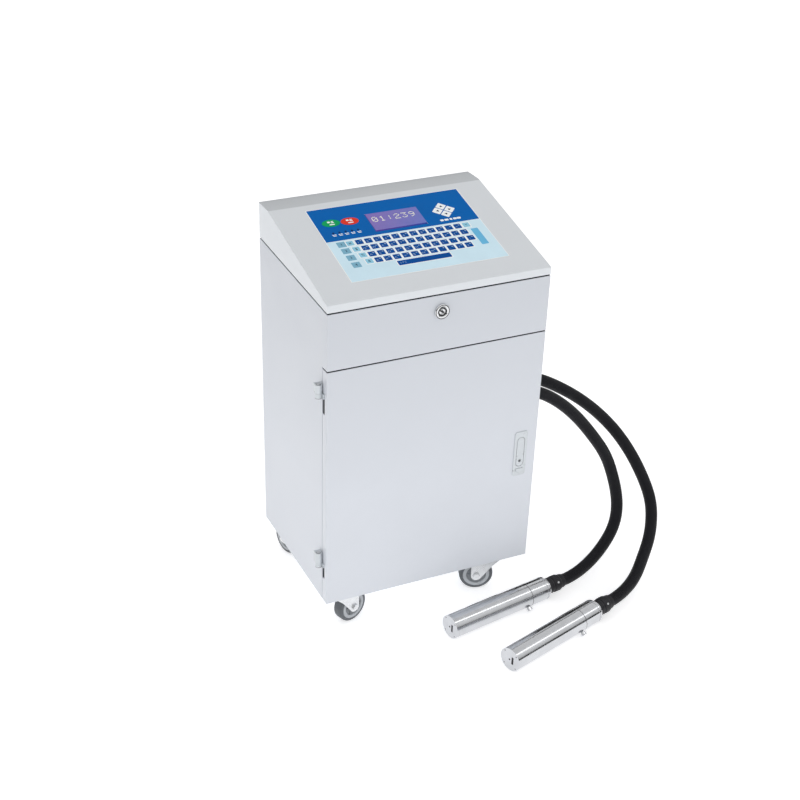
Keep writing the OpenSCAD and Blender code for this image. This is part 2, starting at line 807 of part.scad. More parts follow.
// Front cap that closes the tube, with the slot the drops leave through and four screw recesses.
module head_cap(i) {
    color(steel) at_head(i) difference() {
        union() {
            rod_x([0, 0, 0], head_r, cap_t, 96);
            rod_x([cap_t, 0, 0], cover_bore - fit, 4, 96);
        }
        block([-1, -7.2, -7.5], [10, -4.8, 7.5]);
        rod_x([-1, 1.5, 0], 1.2, 12, 24);
        for (a = [45 : 90 : 315]) rod_x([-1, 20 * cos(a), 20 * sin(a)], 1.2, 3, 24);
    }
}
module head_cap_1() head_cap(0);
module head_cap_2() head_cap(1);

// Clamping screw of the cover, low on the side towards the front.
module thumb_screw(i) {
    color(zinc) at_head(i) rotate([screw_a, 0, 0]) {
        rod_y([screw_at, -head_r - 3, 0], 2.5, 4.4, 32);
        rod_y([screw_at, -head_r - 8, 0], 5.5, 6.5, 32);
        rod_y([screw_at, -head_r - 1.5, 0], 3, 1.2, 32);
    }
}
module thumb_screw_1() thumb_screw(0);
module thumb_screw_2() thumb_screw(1);

module head_rear_blocks() {
    color(steel) for (i = [0, 1]) at_head(i) difference() {
        union() {
            rod_x([cover_l + part_gap, 0, 0], block_r, head_l - block_edge - cover_l - part_gap, 96);
            translate([head_l - block_edge, 0, 0]) rotate([0, 90, 0])
                cylinder(r1 = block_r, r2 = block_r - block_edge, h = block_edge, $fn = 96);
            rod_x([head_l, 0, 0], collar_r, collar_l, 96);
            rod_x([cover_l - 5, 0, 0], cover_bore - 0.08, 6, 96);
        }
        difference() {
            rod_x([groove_at, 0, 0], head_r, 2, 96);
            rod_x([groove_at - 1, 0, 0], block_r - 1, 4, 96);
        }
    }
}

module head_chassis() {
    color(zinc) for (i = [0, 1]) at_head(i) {
        block([12, -14, -8], [cover_l - 5, 14, -4]);
        block([cover_l - 12, -14, -4], [cover_l - 5, 14, 8]);
    }
}

// Drop generator with its piezo rod.
module nozzle_units() {
    color(steel) for (i = [0, 1]) at_head(i) {
        block([138, -9, -4], [172, 9, 10]);
        rod_x([126, 0, 3], 6, 12, 32);
        rod_x([122, 0, 3], 3, 4, 32);
    }
}

// Charge electrode, two deflector plates and the gutter that catches unused drops.
module deflector_sets() {
    color(dark_grey) for (i = [0, 1]) at_head(i) {
        block([100, -8, -4], [114, -1.5, 9]);
        block([100, 1.5, -4], [114, 8, 9]);
        block([48, -9, -4], [92, 9, -1]);
    }
    color(steel) for (i = [0, 1]) at_head(i) {
        block([50, -7, -1], [90, -5, 10]);
        block([50, 5, -1], [90, 7, 10]);
        block([16, -5, -4], [26, 5, 4]);
        rod_x([26, 0, 0], 2, 18, 24);
    }
}

module head_fittings() {
    end = head_l + fitting_l - fitting_edge;
    color(black) for (i = [0, 1]) at_head(i) difference() {
        union() {
            rod_x([head_l + collar_l, 0, 0], fitting_r, end - head_l - collar_l, 64);
            translate([end, 0, 0]) rotate([0, 90, 0])
                cylinder(r1 = fitting_r, r2 = fitting_r - fitting_edge, h = fitting_edge, $fn = 64);
        }
        // set screw recess near the hose end
        rod_y([end - 7, -fitting_r - 1, 0], 2.2, 4, 24);
    }
}

// ---------------------------------------------------------------- umbilical hoses

// Free stretch of each hose, from above the gland down to behind the print head
hose_1_route = [
    [295, -60, 390], [330, -65, 365], [370, -70, 325], [400, -80, 285], [430, -90, 240],
    [445, -100, 195], [455, -110, 150], [455, -120, 115], [440, -135, 85], [415, -145, 60],
    [380, -160, 40]
];
hose_2_route = [
    [315, 5, 390], [360, 0, 365], [405, -10, 335], [445, -25, 300], [480, -45, 260],
    [505, -75, 215], [520, -105, 170], [525, -135, 130], [510, -165, 100], [490, -190, 75],
    [460, -215, 55], [425, -245, 35]
];
straight = [20, 35];
sides = 10;
// Direction that both hose loops are seen round from
loop_normal = [0.2, -0.8, 0.6];

function whole_route(i, free) = concat(
    [[gland_end, gland_y[i], gland_z], [gland_end + straight[0], gland_y[i], gland_z]], free,
    [along_head(i, head_l + fitting_l + straight[1]), along_head(i, head_l + fitting_l)]
);
function unit(v) = v / norm(v);
function heading(p, k) = unit(p[min(k + 1, len(p) - 1)] - p[max(k - 1, 0)]);
function ring(c, t, r) =
    let (u = unit(cross(loop_normal, t)), w = cross(t, u))
    [for (s = [0 : sides - 1]) c + r * (cos(360 * s / sides) * u + sin(360 * s / sides) * w)];

module hose(route) {
    n = len(route);
    points = [for (k = [0 : n - 1]) each ring(route[k], heading(route, k), hose_r)];
    wall = [for (k = [0 : n - 2], s = [0 : sides - 1])
        let (a = k * sides + s, b = k * sides + (s + 1) % sides)
        each [[b, a, a + sides], [b + sides, b, a + sides]]];
    start = [for (s = [0 : sides - 1]) s];
    end = [for (s = [sides - 1 : -1 : 0]) (n - 1) * sides + s];
    color(black) polyhedron(points = points, faces = concat([start], wall, [end]));
}
module hose_1() hose(whole_route(0, hose_1_route));
module hose_2() hose(whole_route(1, hose_2_route));

cabinet_shell();
top_gasket();
door_gasket();
hinge_leaves();
hinge_pins();
equipment_shelf();
power_supply();
main_board();
hv_module();
fan_frame();
vent_grille();
power_inlet();
signal_sockets();
hose_glands();
ink_tank();
ink_bottle();
solvent_bottle();
filters();
ink_pump();
valve_manifold();
ink_tubes();
drip_tray();
lock_housing();
caster_plates();
head_chassis();
head_rear_blocks();
nozzle_units();
deflector_sets();
head_fittings();
hose_1();
hose_2();
lid_shell();
lid_hinge_leaves();
key_overlay();
lcd_module();
keypad_board();
lid_catch();
lock_plug();
door_pan();
door_hinge_leaves();
latch_bezel();
latch_paddle();
latch_button();
latch_cam();
fan_impeller();
power_rocker();
fork_fl();
fork_fr();
fork_bl();
fork_br();
wheel_fl();
wheel_fr();
wheel_bl();
wheel_br();
head_cover_1();
head_cover_2();
head_cap_1();
head_cap_2();
thumb_screw_1();
thumb_screw_2();
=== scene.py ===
"""Date code inkjet printer: the looks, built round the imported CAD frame. Units are metres."""

import json
import math

import bmesh
import bpy
from mathutils import Matrix, Vector

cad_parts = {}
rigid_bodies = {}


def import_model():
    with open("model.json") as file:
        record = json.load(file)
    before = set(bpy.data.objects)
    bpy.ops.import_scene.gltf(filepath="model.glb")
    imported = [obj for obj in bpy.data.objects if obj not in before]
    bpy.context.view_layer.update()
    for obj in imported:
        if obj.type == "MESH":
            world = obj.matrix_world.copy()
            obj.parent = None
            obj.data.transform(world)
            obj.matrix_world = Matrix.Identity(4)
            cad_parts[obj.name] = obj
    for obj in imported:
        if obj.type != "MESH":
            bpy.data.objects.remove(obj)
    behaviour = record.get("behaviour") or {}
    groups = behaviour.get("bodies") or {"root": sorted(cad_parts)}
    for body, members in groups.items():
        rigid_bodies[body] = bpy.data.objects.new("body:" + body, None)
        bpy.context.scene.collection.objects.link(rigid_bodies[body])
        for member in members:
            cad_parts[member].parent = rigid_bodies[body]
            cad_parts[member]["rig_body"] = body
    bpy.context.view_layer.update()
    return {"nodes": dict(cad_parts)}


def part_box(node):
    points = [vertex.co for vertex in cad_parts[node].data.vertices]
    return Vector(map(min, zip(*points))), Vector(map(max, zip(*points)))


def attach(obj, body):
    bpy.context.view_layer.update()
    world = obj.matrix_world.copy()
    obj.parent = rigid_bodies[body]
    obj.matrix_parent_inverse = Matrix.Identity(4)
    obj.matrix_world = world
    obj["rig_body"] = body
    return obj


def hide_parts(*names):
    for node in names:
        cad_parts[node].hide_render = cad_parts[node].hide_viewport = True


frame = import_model()
scene = bpy.context.scene
MM = 0.001


# ---------------------------------------------------------------- camera and cords


# Solved from the corners of the cabinet in the photo
CAMERA_AT = (-1.0246, -2.0867, 1.6918)
CAMERA_DOWN = math.radians(30.306)
CAMERA_YAW = math.radians(-22.487)


def make_camera():
    data = bpy.data.cameras.new("camera")
    camera = bpy.data.objects.new("camera", data)
    scene.collection.objects.link(camera)
    camera.location = CAMERA_AT
    camera.rotation_euler = (math.pi / 2 - CAMERA_DOWN, 0, CAMERA_YAW)
    data.lens = 62.09
    data.sensor_width = 36
    data.shift_x = 0.100
    data.shift_y = 0.0416
    data.clip_start = 0.05
    data.clip_end = 60
    scene.camera = camera


def spline(points, step):
    """Smooth line through the points, sampled about every step metres."""
    p = [Vector(q) for q in points]
    ends = [2 * p[0] - p[1], *p, 2 * p[-1] - p[-2]]
    line = []
    for a, b, c, d in zip(ends, ends[1:], ends[2:], ends[3:]):
        n = max(1, round((c - b).length / step))
        for i in range(n):
            t = i / n
            square = (2 * a - 5 * b + 4 * c - d) * t**2
            cube = (3 * b - a - 3 * c + d) * t**3
            line.append(0.5 * (2 * b + (c - a) * t + square + cube))
    return line + [p[-1]]


def add_tube(bm, line, radius, sides):
    """Tube along a line that starts level, closed at both ends, with UVs in metres along and round it."""
    uv = bm.loops.layers.uv.verify()
    side = Vector((0, 0, 1)).cross(line[1] - line[0])
    turn = [2 * math.pi * s / sides for s in range(sides)]
    rings, along, total = [], [], 0.0
    for k, point in enumerate(line):
        ahead = (line[min(k + 1, len(line) - 1)] - line[max(k - 1, 0)]).normalized()
        side = (side - ahead * side.dot(ahead)).normalized()
        up = ahead.cross(side)
        rings.append([bm.verts.new(point + radius * (math.cos(t) * side + math.sin(t) * up)) for t in turn])
        total += (point - line[k - 1]).length if k else 0
        along.append(total)
    girth = 2 * math.pi * radius
    for k in range(len(line) - 1):
        for s in range(sides):
            n = (s + 1) % sides
            face = bm.faces.new([rings[k][s], rings[k][n], rings[k + 1][n], rings[k + 1][s]])
            corners = [(k, s), (k, s + 1), (k + 1, s + 1), (k + 1, s)]
            for loop, (a, b) in zip(face.loops, corners):
                loop[uv].uv = (along[a], b / sides * girth)
    bm.faces.new(list(reversed(rings[0])))
    bm.faces.new(rings[-1])


# ---------------------------------------------------------------- materials


def linear(r, g, b):
    """An sRGB colour of 0 to 255 as a linear one."""
    shares = [v / 255 for v in (r, g, b)]
    return tuple(c / 12.92 if c <= 0.04045 else ((c + 0.055) / 1.055) ** 2.4 for c in shares)


def scaled(colour, share):
    """A darker or lighter tone of a linear colour."""
    return tuple(min(1, c * share) for c in colour)


class Build:
    """Short calls for making a material's nodes."""

    def __init__(self, name):
        self.material = bpy.data.materials.new(name)
        self.material.use_nodes = True
        self.tree = self.material.node_tree
        self.tree.nodes.clear()
        self.shader = self.node("BsdfPrincipled")
        self.node("OutputMaterial", {"Surface": self.shader.outputs[0]})

    def node(self, kind, inputs=None, **settings):
        made = self.tree.nodes.new("ShaderNode" + kind)
        for key, value in settings.items():
            setattr(made, key, value)
        self.put(made, inputs or {})
        return made

    def put(self, node, inputs):
        for key, value in inputs.items():
            socket = node.inputs[key]
            if isinstance(value, bpy.types.NodeSocket):
                self.tree.links.new(value, socket)
            elif socket.type == "RGBA" and len(value) == 3:
                socket.default_value = (*value, 1)
            else:
                socket.default_value = value

    def math(self, operation, a, b=0.0):
        return self.node("Math", {0: a, 1: b}, operation=operation).outputs[0]

    def spread(self, value, low, high, start=0.3, end=0.7):
        """A value mapped from start..end to low..high."""
        inputs = {"Value": value, "From Min": start, "From Max": end, "To Min": low, "To Max": high}
        return self.node("MapRange", inputs).outputs[0]

    def mix(self, factor, a, b):
        node = self.node("Mix", data_type="RGBA")
        self.put(node, {0: factor, 6: a, 7: b})
        return node.outputs[2]

    def place(self, scale=(1, 1, 1), turn=(0, 0, 0), source="Object"):
        co = self.node("TexCoord").outputs[source]
        return self.node("Mapping", {"Vector": co, "Scale": scale, "Rotation": turn}).outputs[0]

    def height(self):
        """Height over the floor of the point that is shaded."""
        return self.node("SeparateXYZ", {"Vector": self.place()}).outputs[2]

    def noise(self, where, size, detail=3.0):
        inputs = {"Vector": where, "Scale": 1 / size, "Detail": detail, "Roughness": 0.55}
        return self.node("TexNoise", inputs).outputs[0]


DUST = linear(150, 146, 138)
DUST_HEIGHTS = (0.09, 0.16)
# Heights between which painted shade darkens the cabinet paint
PAINTED_SHADE_HEIGHTS = (0.32, 0.68)


def surface(
    name,
    colour,
    rough=0.4,
    metal=0.0,
    mottle=0.04,
    mottle_size=0.09,
    grain=0.00002,
    grain_size=0.0012,
    stretch=(1, 1, 1),
    turn=(0, 0, 0),
    spread=0.08,
    wear=None,
    edge=0.0012,
    dirt=0.0,
    top=None,
    painted_fade=0.0,
    **sockets,
):
    """A finish with clouded colour, grain and uneven roughness.

    wear is the colour of rubbed edges, dirt the share of dust near the floor; top and the fading share after
    it darken the colour as painted shade, on a level face above that height and from the foot of the cabinet
    to its top.
    """
    b = Build(name)
    cloud = b.noise(b.place(), mottle_size, 4)
    fine = b.noise(b.place(stretch, turn), grain_size, 3)
    shade = b.mix(b.spread(cloud, 0, 1), scaled(colour, 1 - mottle), scaled(colour, 1 + mottle))
    shade = b.mix(b.spread(fine, 0, mottle), shade, scaled(colour, 0.5))
    uneven = b.spread(cloud, rough - spread, rough + spread)
    level = b.math("ADD", uneven, b.spread(fine, -spread / 2, spread / 2))
    if dirt:
        low = b.spread(b.height(), dirt, 0, *DUST_HEIGHTS)
        low = b.math("MULTIPLY", low, b.spread(b.noise(b.place(), 0.02, 5), 0.3, 1))
        shade = b.mix(low, shade, DUST)
        level = b.math("ADD", level, b.math("MULTIPLY", low, 0.4))
    # Painted shade: a level top face above this height is darker.
    if top:
        shade = b.mix(b.spread(b.height(), 0, 0.36, top - 0.0006, top), shade, scaled(colour, 0.3))
    # Painted shade: the paint darkens from the foot of the cabinet towards its top.
    if painted_fade:
        shade = b.mix(b.spread(b.height(), 0, 0.8, *PAINTED_SHADE_HEIGHTS), shade, scaled(colour, 1 - painted_fade))
    if wear:
        soft = b.node("Bevel", {"Radius": edge}, samples=4).outputs[0]
        flat = b.node("NewGeometry").outputs["Normal"]
        same = b.node("VectorMath", {0: soft, 1: flat}, operation="DOT_PRODUCT").outputs["Value"]
        patches = b.spread(b.noise(b.place(), 0.006, 5), 0, 1, 0.45, 0.7)
        bare = b.math("MULTIPLY", b.spread(same, 1, 0, 0.85, 0.99), patches)
        shade = b.mix(bare, shade, wear)
        level = b.math("SUBTRACT", level, b.math("MULTIPLY", bare, 0.1))
    level = b.math("MAXIMUM", level, 0.04)
    bump = b.node("Bump", {"Height": fine, "Strength": 0.6, "Distance": grain}).outputs[0]
    b.put(b.shader, {"Base Color": shade, "Roughness": level, "Normal": bump, "Metallic": metal})
    b.put(b.shader, sockets)
    return b.material


def woven(name, colour, pitch, height):
    """A braided sheath: two families of fine strands that cross on the tube's own UVs."""
    b = Build(name)
    u, v = b.node("SeparateXYZ", {"Vector": b.place(source="UV")}).outputs[:2]
    waves = []
    for sign in (1, -1):
        slant = b.math("ADD", u, b.math("MULTIPLY", v, sign))
        waves.append(b.math("SINE", b.math("MULTIPLY", slant, 2 * math.pi / pitch)))
    strands = b.math("MULTIPLY", waves[0], waves[1])
    cloud = b.noise(b.place(), 0.03, 4)
    lift = b.math("MULTIPLY", b.spread(strands, 0, 1, -1, 1), b.spread(cloud, 0.7, 1))
    shade = b.mix(lift, scaled(colour, 0.45), scaled(colour, 1.5))
    bump = b.node("Bump", {"Height": strands, "Strength": 0.8, "Distance": height}).outputs[0]
    b.put(b.shader, {"Base Color": shade, "Roughness": b.spread(cloud, 0.37, 0.55), "Normal": bump})
    b.put(b.shader, {"Specular IOR Level": 0.18})
    return b.material


def head_metal(name, yaw):
    """Stainless steel turned on a lathe: fine rings across a print head's own axis."""
    return surface(name, (0.60, 0.61, 0.63), 0.16, 1.0, mottle=0.05, mottle_size=0.03, grain=0.00003,
                   grain_size=0.06, stretch=(90, 1.5, 1.5), turn=(0, 0, -yaw), spread=0.05)


def printed(name, r, g, b, rough=0.36, mottle=0.04, mottle_size=0.09):
    """Ink on the overlay, with little gloss, so that it doesn't mirror the sky."""
    return surface(name, linear(r, g, b), rough, mottle=mottle, mottle_size=mottle_size, grain_size=0.0006,
                   **{"Specular IOR Level": 0.04})


COAT = {"Coat Weight": 0.15, "Coat Roughness": 0.3}
HEAD_YAW = {1: math.radians(10), 2: math.radians(17)}
# Painted shade darkens the cabinet paint towards its top; the dirt near the floor is dust.
paint = surface("door_paint", linear(215, 219, 226), 0.42, grain=0.00004, grain_size=0.0016, mottle=0.012,
                wear=linear(190, 194, 200), edge=0.001, dirt=0.03, painted_fade=0.17, **COAT)
# Painted shade darkens the console's level top strip above 0.785 m.
lid_paint = surface("console_paint", linear(219, 223, 227), 0.42, grain=0.00004, grain_size=0.0016,
                    mottle=0.012, wear=linear(200, 203, 207), edge=0.001, top=0.785, **COAT)
zinc = surface("zinc_plate", (0.60, 0.61, 0.62), 0.36, 1.0, mottle=0.1, mottle_size=0.02, grain=0.00001)
bright_zinc = surface("fork_zinc", (0.78, 0.79, 0.80), 0.3, 0.75, mottle=0.08, mottle_size=0.012,
                      wear=(0.45, 0.45, 0.46), edge=0.0008)
chrome = surface("satin_chrome", (0.62, 0.63, 0.65), 0.2, 1.0, mottle=0.05, mottle_size=0.02, grain=0.000004,
                 grain_size=0.0008, spread=0.05)
polished = surface("polished_chrome", (0.72, 0.73, 0.74), 0.1, 1.0, mottle=0.04, grain=0.000003, spread=0.03)
alloy = surface("machined_alloy", (0.66, 0.67, 0.69), 0.32, 1.0, mottle=0.06, grain_size=0.02,
                stretch=(40, 1, 1), grain=0.00001)
black_plastic = surface("black_nylon", (0.022, 0.022, 0.025), 0.42, mottle=0.2, mottle_size=0.02,
                        grain=0.00003, grain_size=0.0007, wear=(0.09, 0.09, 0.095), edge=0.0007,
                        **{"Specular IOR Level": 0.2})
grey_plastic = surface("grey_plastic", (0.10, 0.105, 0.11), 0.45, mottle=0.1, mottle_size=0.02,
                       grain=0.00003, grain_size=0.0007)
rubber = surface("gasket_rubber", (0.006, 0.007, 0.009), 0.62, mottle=0.2, mottle_size=0.03, grain=0.00004,
                 **{"Specular IOR Level": 0.1})
latch_metal = surface("latch_finish", linear(204, 209, 213), 0.34, 0.35, mottle=0.03, mottle_size=0.01,
                      grain=0.000006, grain_size=0.0008)
label_white = surface("label_paper", linear(226, 227, 222), 0.6, mottle=0.03, mottle_size=0.02,
                      grain_size=0.0005)
label_yellow = surface("label_yellow", linear(236, 190, 40), 0.5, mottle=0.04, mottle_size=0.02,
                       grain_size=0.0005)
cap_blue = surface("cap_blue", linear(30, 84, 150), 0.4, mottle=0.08, mottle_size=0.01, grain_size=0.0006)
foam = surface("foam_seal", (0.035, 0.035, 0.038), 0.9, mottle=0.3, mottle_size=0.004, grain=0.0002,
               grain_size=0.0009)
tyre_dark = surface("tyre_rubber", linear(92, 96, 100), 0.55, mottle=0.12, mottle_size=0.012, grain=0.00004,
                    wear=linear(150, 152, 155), edge=0.0016)
tyre_light = surface("wheel_band", linear(176, 180, 184), 0.45, mottle=0.06, mottle_size=0.01)
hub_grey = surface("wheel_hub", linear(122, 126, 130), 0.4, mottle=0.08, mottle_size=0.01)
clear_tube = surface("clear_tube", (0.70, 0.75, 0.78), 0.18, mottle=0.05, grain=0.00001,
                     **{"Coat Weight": 0.4})
board = surface("solder_mask", (0.010, 0.085, 0.040), 0.3, mottle=0.25, mottle_size=0.006, grain=0.00002,
                **{"Coat Weight": 0.3})
copper = surface("gold_pads", (0.75, 0.55, 0.25), 0.3, 1.0, mottle=0.1)
white_print = printed("white_print", 250, 253, 255, 0.4, 0.02)
dark_blue = printed("dark_blue_print", 0, 100, 180, 0.45, 0.05, 0.05)
key_blue = printed("key_blue_print", 2, 78, 156, 0.5, 0.06, 0.03)
light_blue = printed("light_blue_print", 214, 240, 252, 0.4, 0.03, 0.05)
key_teal = printed("teal_print", 150, 208, 232)
key_slate = printed("slate_print", 130, 182, 206)
enter_blue = printed("enter_print", 112, 192, 232)
legend_pale = printed("legend_print", 150, 178, 210, 0.4, 0.03)
green_print = printed("green_print", 10, 166, 96)
red_print = printed("red_print", 232, 60, 40)
dark_print = printed("dark_print", 18, 38, 70)
cream_print = surface("lcd_dots", linear(226, 224, 206), 0.4, mottle=0.02,
                      **{"Emission Color": (0.8, 0.8, 0.7, 1), "Emission Strength": 0.15})


def make_lcd():
    """Backlit display: violet, warmer towards one corner, with a faint dot raster."""
    b = Build("display")
    place = b.place()
    x, y, _ = b.node("SeparateXYZ", {"Vector": place}).outputs
    across = b.spread(b.math("SUBTRACT", x, b.math("MULTIPLY", y, 0.6)), 0, 1, -0.09, 0.05)
    shade = b.mix(across, linear(104, 72, 160), linear(64, 84, 172))
    waves = [b.math("SINE", b.math("MULTIPLY", way, 7000)) for way in (x, y)]
    dots = b.math("MULTIPLY", *waves)
    shade = b.mix(b.spread(dots, 0, 0.12, -1, 1), shade, (0.02, 0.02, 0.05))
    shade = b.mix(b.spread(b.noise(place, 0.03), 0, 0.1), shade, linear(150, 120, 190))
    rough = b.spread(b.noise(place, 0.01), 0.12, 0.2)
    b.put(b.shader, {"Base Color": shade, "Emission Color": shade, "Emission Strength": 0.25})
    b.put(b.shader, {"Roughness": rough, "Coat Weight": 0.6, "Coat Roughness": 0.06})
    return b.material


display = make_lcd()
hose_sheath = woven("hose_sheath", (0.007, 0.007, 0.010), 0.0022, 0.00025)


# ---------------------------------------------------------------- shapes


def put_in(bm, made, at):
    bmesh.ops.transform(bm, matrix=at, verts=made)


def add_box(bm, low, high, at=Matrix()):
    low, high = Vector(low), Vector(high)
    cube = bmesh.ops.create_cube(bm, size=1)["verts"]
    put_in(bm, cube, at @ Matrix.Translation((low + high) / 2) @ Matrix.Diagonal((*(high - low), 1)))


def add_lathe(bm, profile, at=Matrix(), sides=48):
    """Solid of revolution round local Z; the profile is a list of radius and height."""
    rings = []
    for r, h in profile:
        if r < 1e-7:
            rings.append([bm.verts.new(at @ Vector((0, 0, h)))])
            continue
        turn = [2 * math.pi * s / sides for s in range(sides)]
        rings.append([bm.verts.new(at @ Vector((r * math.cos(t), r * math.sin(t), h))) for t in turn])
    for low, high in zip(rings, rings[1:]):
        for s in range(sides):
            n = (s + 1) % sides
            corners = [low[s % len(low)], low[n % len(low)], high[n % len(high)], high[s % len(high)]]
            corners = list(dict.fromkeys(corners))
            if len(corners) > 2:
                bm.faces.new(corners)
    for ring in (rings[0], rings[-1]):
        if len(ring) > 1:
            bm.faces.new(ring)


def add_ring(bm, profile, at=Matrix(), sides=48):
    """Ring round local Z from a closed profile of radius and height."""
    rings = []
    for r, h in profile:
        turn = [2 * math.pi * s / sides for s in range(sides)]
        rings.append([bm.verts.new(at @ Vector((r * math.cos(t), r * math.sin(t), h))) for t in turn])
    for low, high in zip(rings, rings[1:] + rings[:1]):
        for s in range(sides):
            n = (s + 1) % sides
            bm.faces.new([low[s], low[n], high[n], high[s]])


def add_plate(bm, outline, z0, z1, at=Matrix()):
    """Outline on local X and Y, extruded from z0 to z1."""
    low = [bm.verts.new(at @ Vector((x, y, z0))) for x, y in outline]
    high = [bm.verts.new(at @ Vector((x, y, z1))) for x, y in outline]
    bm.faces.new(list(reversed(low)))
    bm.faces.new(high)
    for k in range(len(outline)):
        n = (k + 1) % len(outline)
        bm.faces.new([low[k], low[n], high[n], high[k]])


def round_rect(x, y, w, h, r, n=4):
    """Outline of a rectangle round x, y with round corners."""
    points = []
    for q, (sx, sy) in enumerate(((1, 1), (-1, 1), (-1, -1), (1, -1))):
        for k in range(n + 1):
            a = math.pi / 2 * (q + k / n)
            points.append((x + sx * (w / 2 - r) + r * math.cos(a), y + sy * (h / 2 - r) + r * math.sin(a)))
    return points


def ellipse(x, y, w, h, n=40):
    turn = [2 * math.pi * k / n for k in range(n)]
    return [(x + w / 2 * math.cos(t), y + h / 2 * math.sin(t)) for t in turn]


def add_text(bm, text, x, y, size, z, at):
    """One generic character, flat and centred on x, y."""
    curve = bpy.data.curves.new("glyph", "FONT")
    curve.body = text
    curve.size = size
    curve.align_x = "CENTER"
    curve.align_y = "CENTER"
    curve.resolution_u = 2
    made = bpy.data.objects.new("glyph", curve)
    scene.collection.objects.link(made)
    flat = made.to_mesh()
    start = len(bm.verts)
    bm.from_mesh(flat)
    made.to_mesh_clear()
    bpy.data.objects.remove(made)
    bpy.data.curves.remove(curve)
    bm.verts.ensure_lookup_table()
    put_in(bm, bm.verts[start:], at @ Matrix.Translation((x, y, z)))


def mesh_object(name, bm, material):
    """Object from a bmesh, in one material."""
    mesh = bpy.data.meshes.new(name)
    bm.to_mesh(mesh)
    bm.free()
    mesh.materials.append(material)
    made = bpy.data.objects.new(name, mesh)
    scene.collection.objects.link(made)
    return made


def piece(name, bm, body, material, bevel=0.0, smooth=35, replaces=(), segments=2):
    """Visible piece of the printer from a bmesh, riding on a body."""
    bmesh.ops.recalc_face_normals(bm, faces=bm.faces)
    made = mesh_object(name, bm, material)
    mesh = made.data
    mesh.shade_smooth()
    if bevel:
        edges = made.modifiers.new("round edges", "BEVEL")
        edges.width = bevel
        edges.segments = segments
        edges.limit_method = "ANGLE"
        edges.angle_limit = math.radians(30)
        level = made.modifiers.new("flat faces", "WEIGHTED_NORMAL")
        level.keep_sharp = True
    else:
        mesh.set_sharp_from_angle(angle=math.radians(smooth))
    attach(made, body)
    if replaces:
        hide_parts(*replaces)
    return made


def rounded(node, material, bevel=0.0006, segments=2):
    """Copy of a CAD node with its edges rounded, shown in place of the node."""
    bm = bmesh.new()
    bm.from_mesh(frame["nodes"][node].data)
    bmesh.ops.remove_doubles(bm, verts=bm.verts, dist=1e-6)
    bmesh.ops.dissolve_limit(bm, angle_limit=math.radians(0.5), verts=bm.verts, edges=bm.edges)
    piece(node + "_rounded", bm, frame["nodes"][node]["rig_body"], material, bevel,
          replaces=[node], segments=segments)


def dress(node, material):
    """Better material for a CAD node that keeps its own mesh."""
    mesh = frame["nodes"][node].data
    mesh.materials.clear()
    mesh.materials.append(material)
    mesh.shade_smooth()
    mesh.set_sharp_from_angle(angle=math.radians(35))


def turned(point, z_axis, x_hint=(0, 0, 1)):
    """Frame at a point with local Z along z_axis and local X near x_hint, which isn't parallel to it."""
    z = Vector(z_axis).normalized()
    x = (Vector(x_hint) - z * Vector(x_hint).dot(z)).normalized()
    rotation = Matrix((x, z.cross(x), z)).transposed().to_4x4()
    return Matrix.Translation(point) @ rotation


# ---------------------------------------------------------------- hoses

# Where the hoses leave their glands, and where the front caps of the print heads lie
GLAND_END = 0.248
GLAND_Z = 0.405
GLAND_Y = {1: -0.060, 2: 0.005}
HEAD_XY = {1: (0.015, -0.232), 2: (0.074, -0.362)}
HEAD_Z = 0.0245
# Lengths of a head, of its sliding cover and of the hose fitting behind it
HEAD_L = 0.235
COVER_L = 0.188
FITTING_L = 0.047
# Each hose's way from its gland to its head, read from the photo
ROUTES = {
    1: [
        (0.295, -0.060, 0.390), (0.330, -0.065, 0.365), (0.370, -0.070, 0.325), (0.400, -0.080, 0.285),
        (0.430, -0.090, 0.240), (0.445, -0.100, 0.195), (0.455, -0.110, 0.150), (0.455, -0.120, 0.115),
        (0.440, -0.135, 0.085), (0.415, -0.145, 0.060), (0.380, -0.160, 0.040),
    ],
    2: [
        (0.315, 0.005, 0.390), (0.360, 0.000, 0.365), (0.405, -0.010, 0.335), (0.445, -0.025, 0.300),
        (0.480, -0.045, 0.260), (0.505, -0.075, 0.215), (0.520, -0.105, 0.170), (0.525, -0.135, 0.130),
        (0.510, -0.165, 0.100), (0.490, -0.190, 0.075), (0.460, -0.215, 0.055), (0.425, -0.245, 0.035),
    ],
}
# Straight lengths at the gland and at the head
STRAIGHT = (0.020, 0.035)
HOSE_D = 0.024


def head_frame(i):
    """Frame of print head i: X from the front cap to the back end, Z up."""
    return Matrix.Translation((*HEAD_XY[i], HEAD_Z)) @ Matrix.Rotation(HEAD_YAW[i], 4, "Z")


def relaxed(line, passes=60, keep=4):
    """Line with its small bends evened out; both straight ends stay."""
    for _ in range(passes):
        middle = [(line[k - 1] + 2 * line[k] + line[k + 1]) / 4 for k in range(keep, len(line) - keep)]
        line = line[:keep] + middle + line[len(line) - keep:]
    return line


def make_hose(i):
    """Hose i, from its gland on the cabinet to the fitting of its print head."""
    end = head_frame(i)
    exit_point = Vector((GLAND_END, GLAND_Y[i], GLAND_Z))
    back = HEAD_L + FITTING_L
    route = [exit_point, exit_point + Vector((STRAIGHT[0], 0, 0)), *ROUTES[i]]
    route += [end @ Vector((back + STRAIGHT[1], 0, 0)), end @ Vector((back, 0, 0))]
    line = relaxed(spline(route, 0.004))
    bm = bmesh.new()
    add_tube(bm, line, HOSE_D / 2, 32)
    node = f"hose_{i}"
    hose = piece(node + "_sheath", bm, "cabinet", hose_sheath, smooth=60, replaces=[node])


make_camera()
make_hose(1)
make_hose(2)


# ---------------------------------------------------------------- cabinet, door, console and heads

# Front and back faces of the cabinet
FRONT_Y = -0.162
BACK_Y = 0.162
LOCK_Z = 0.6687


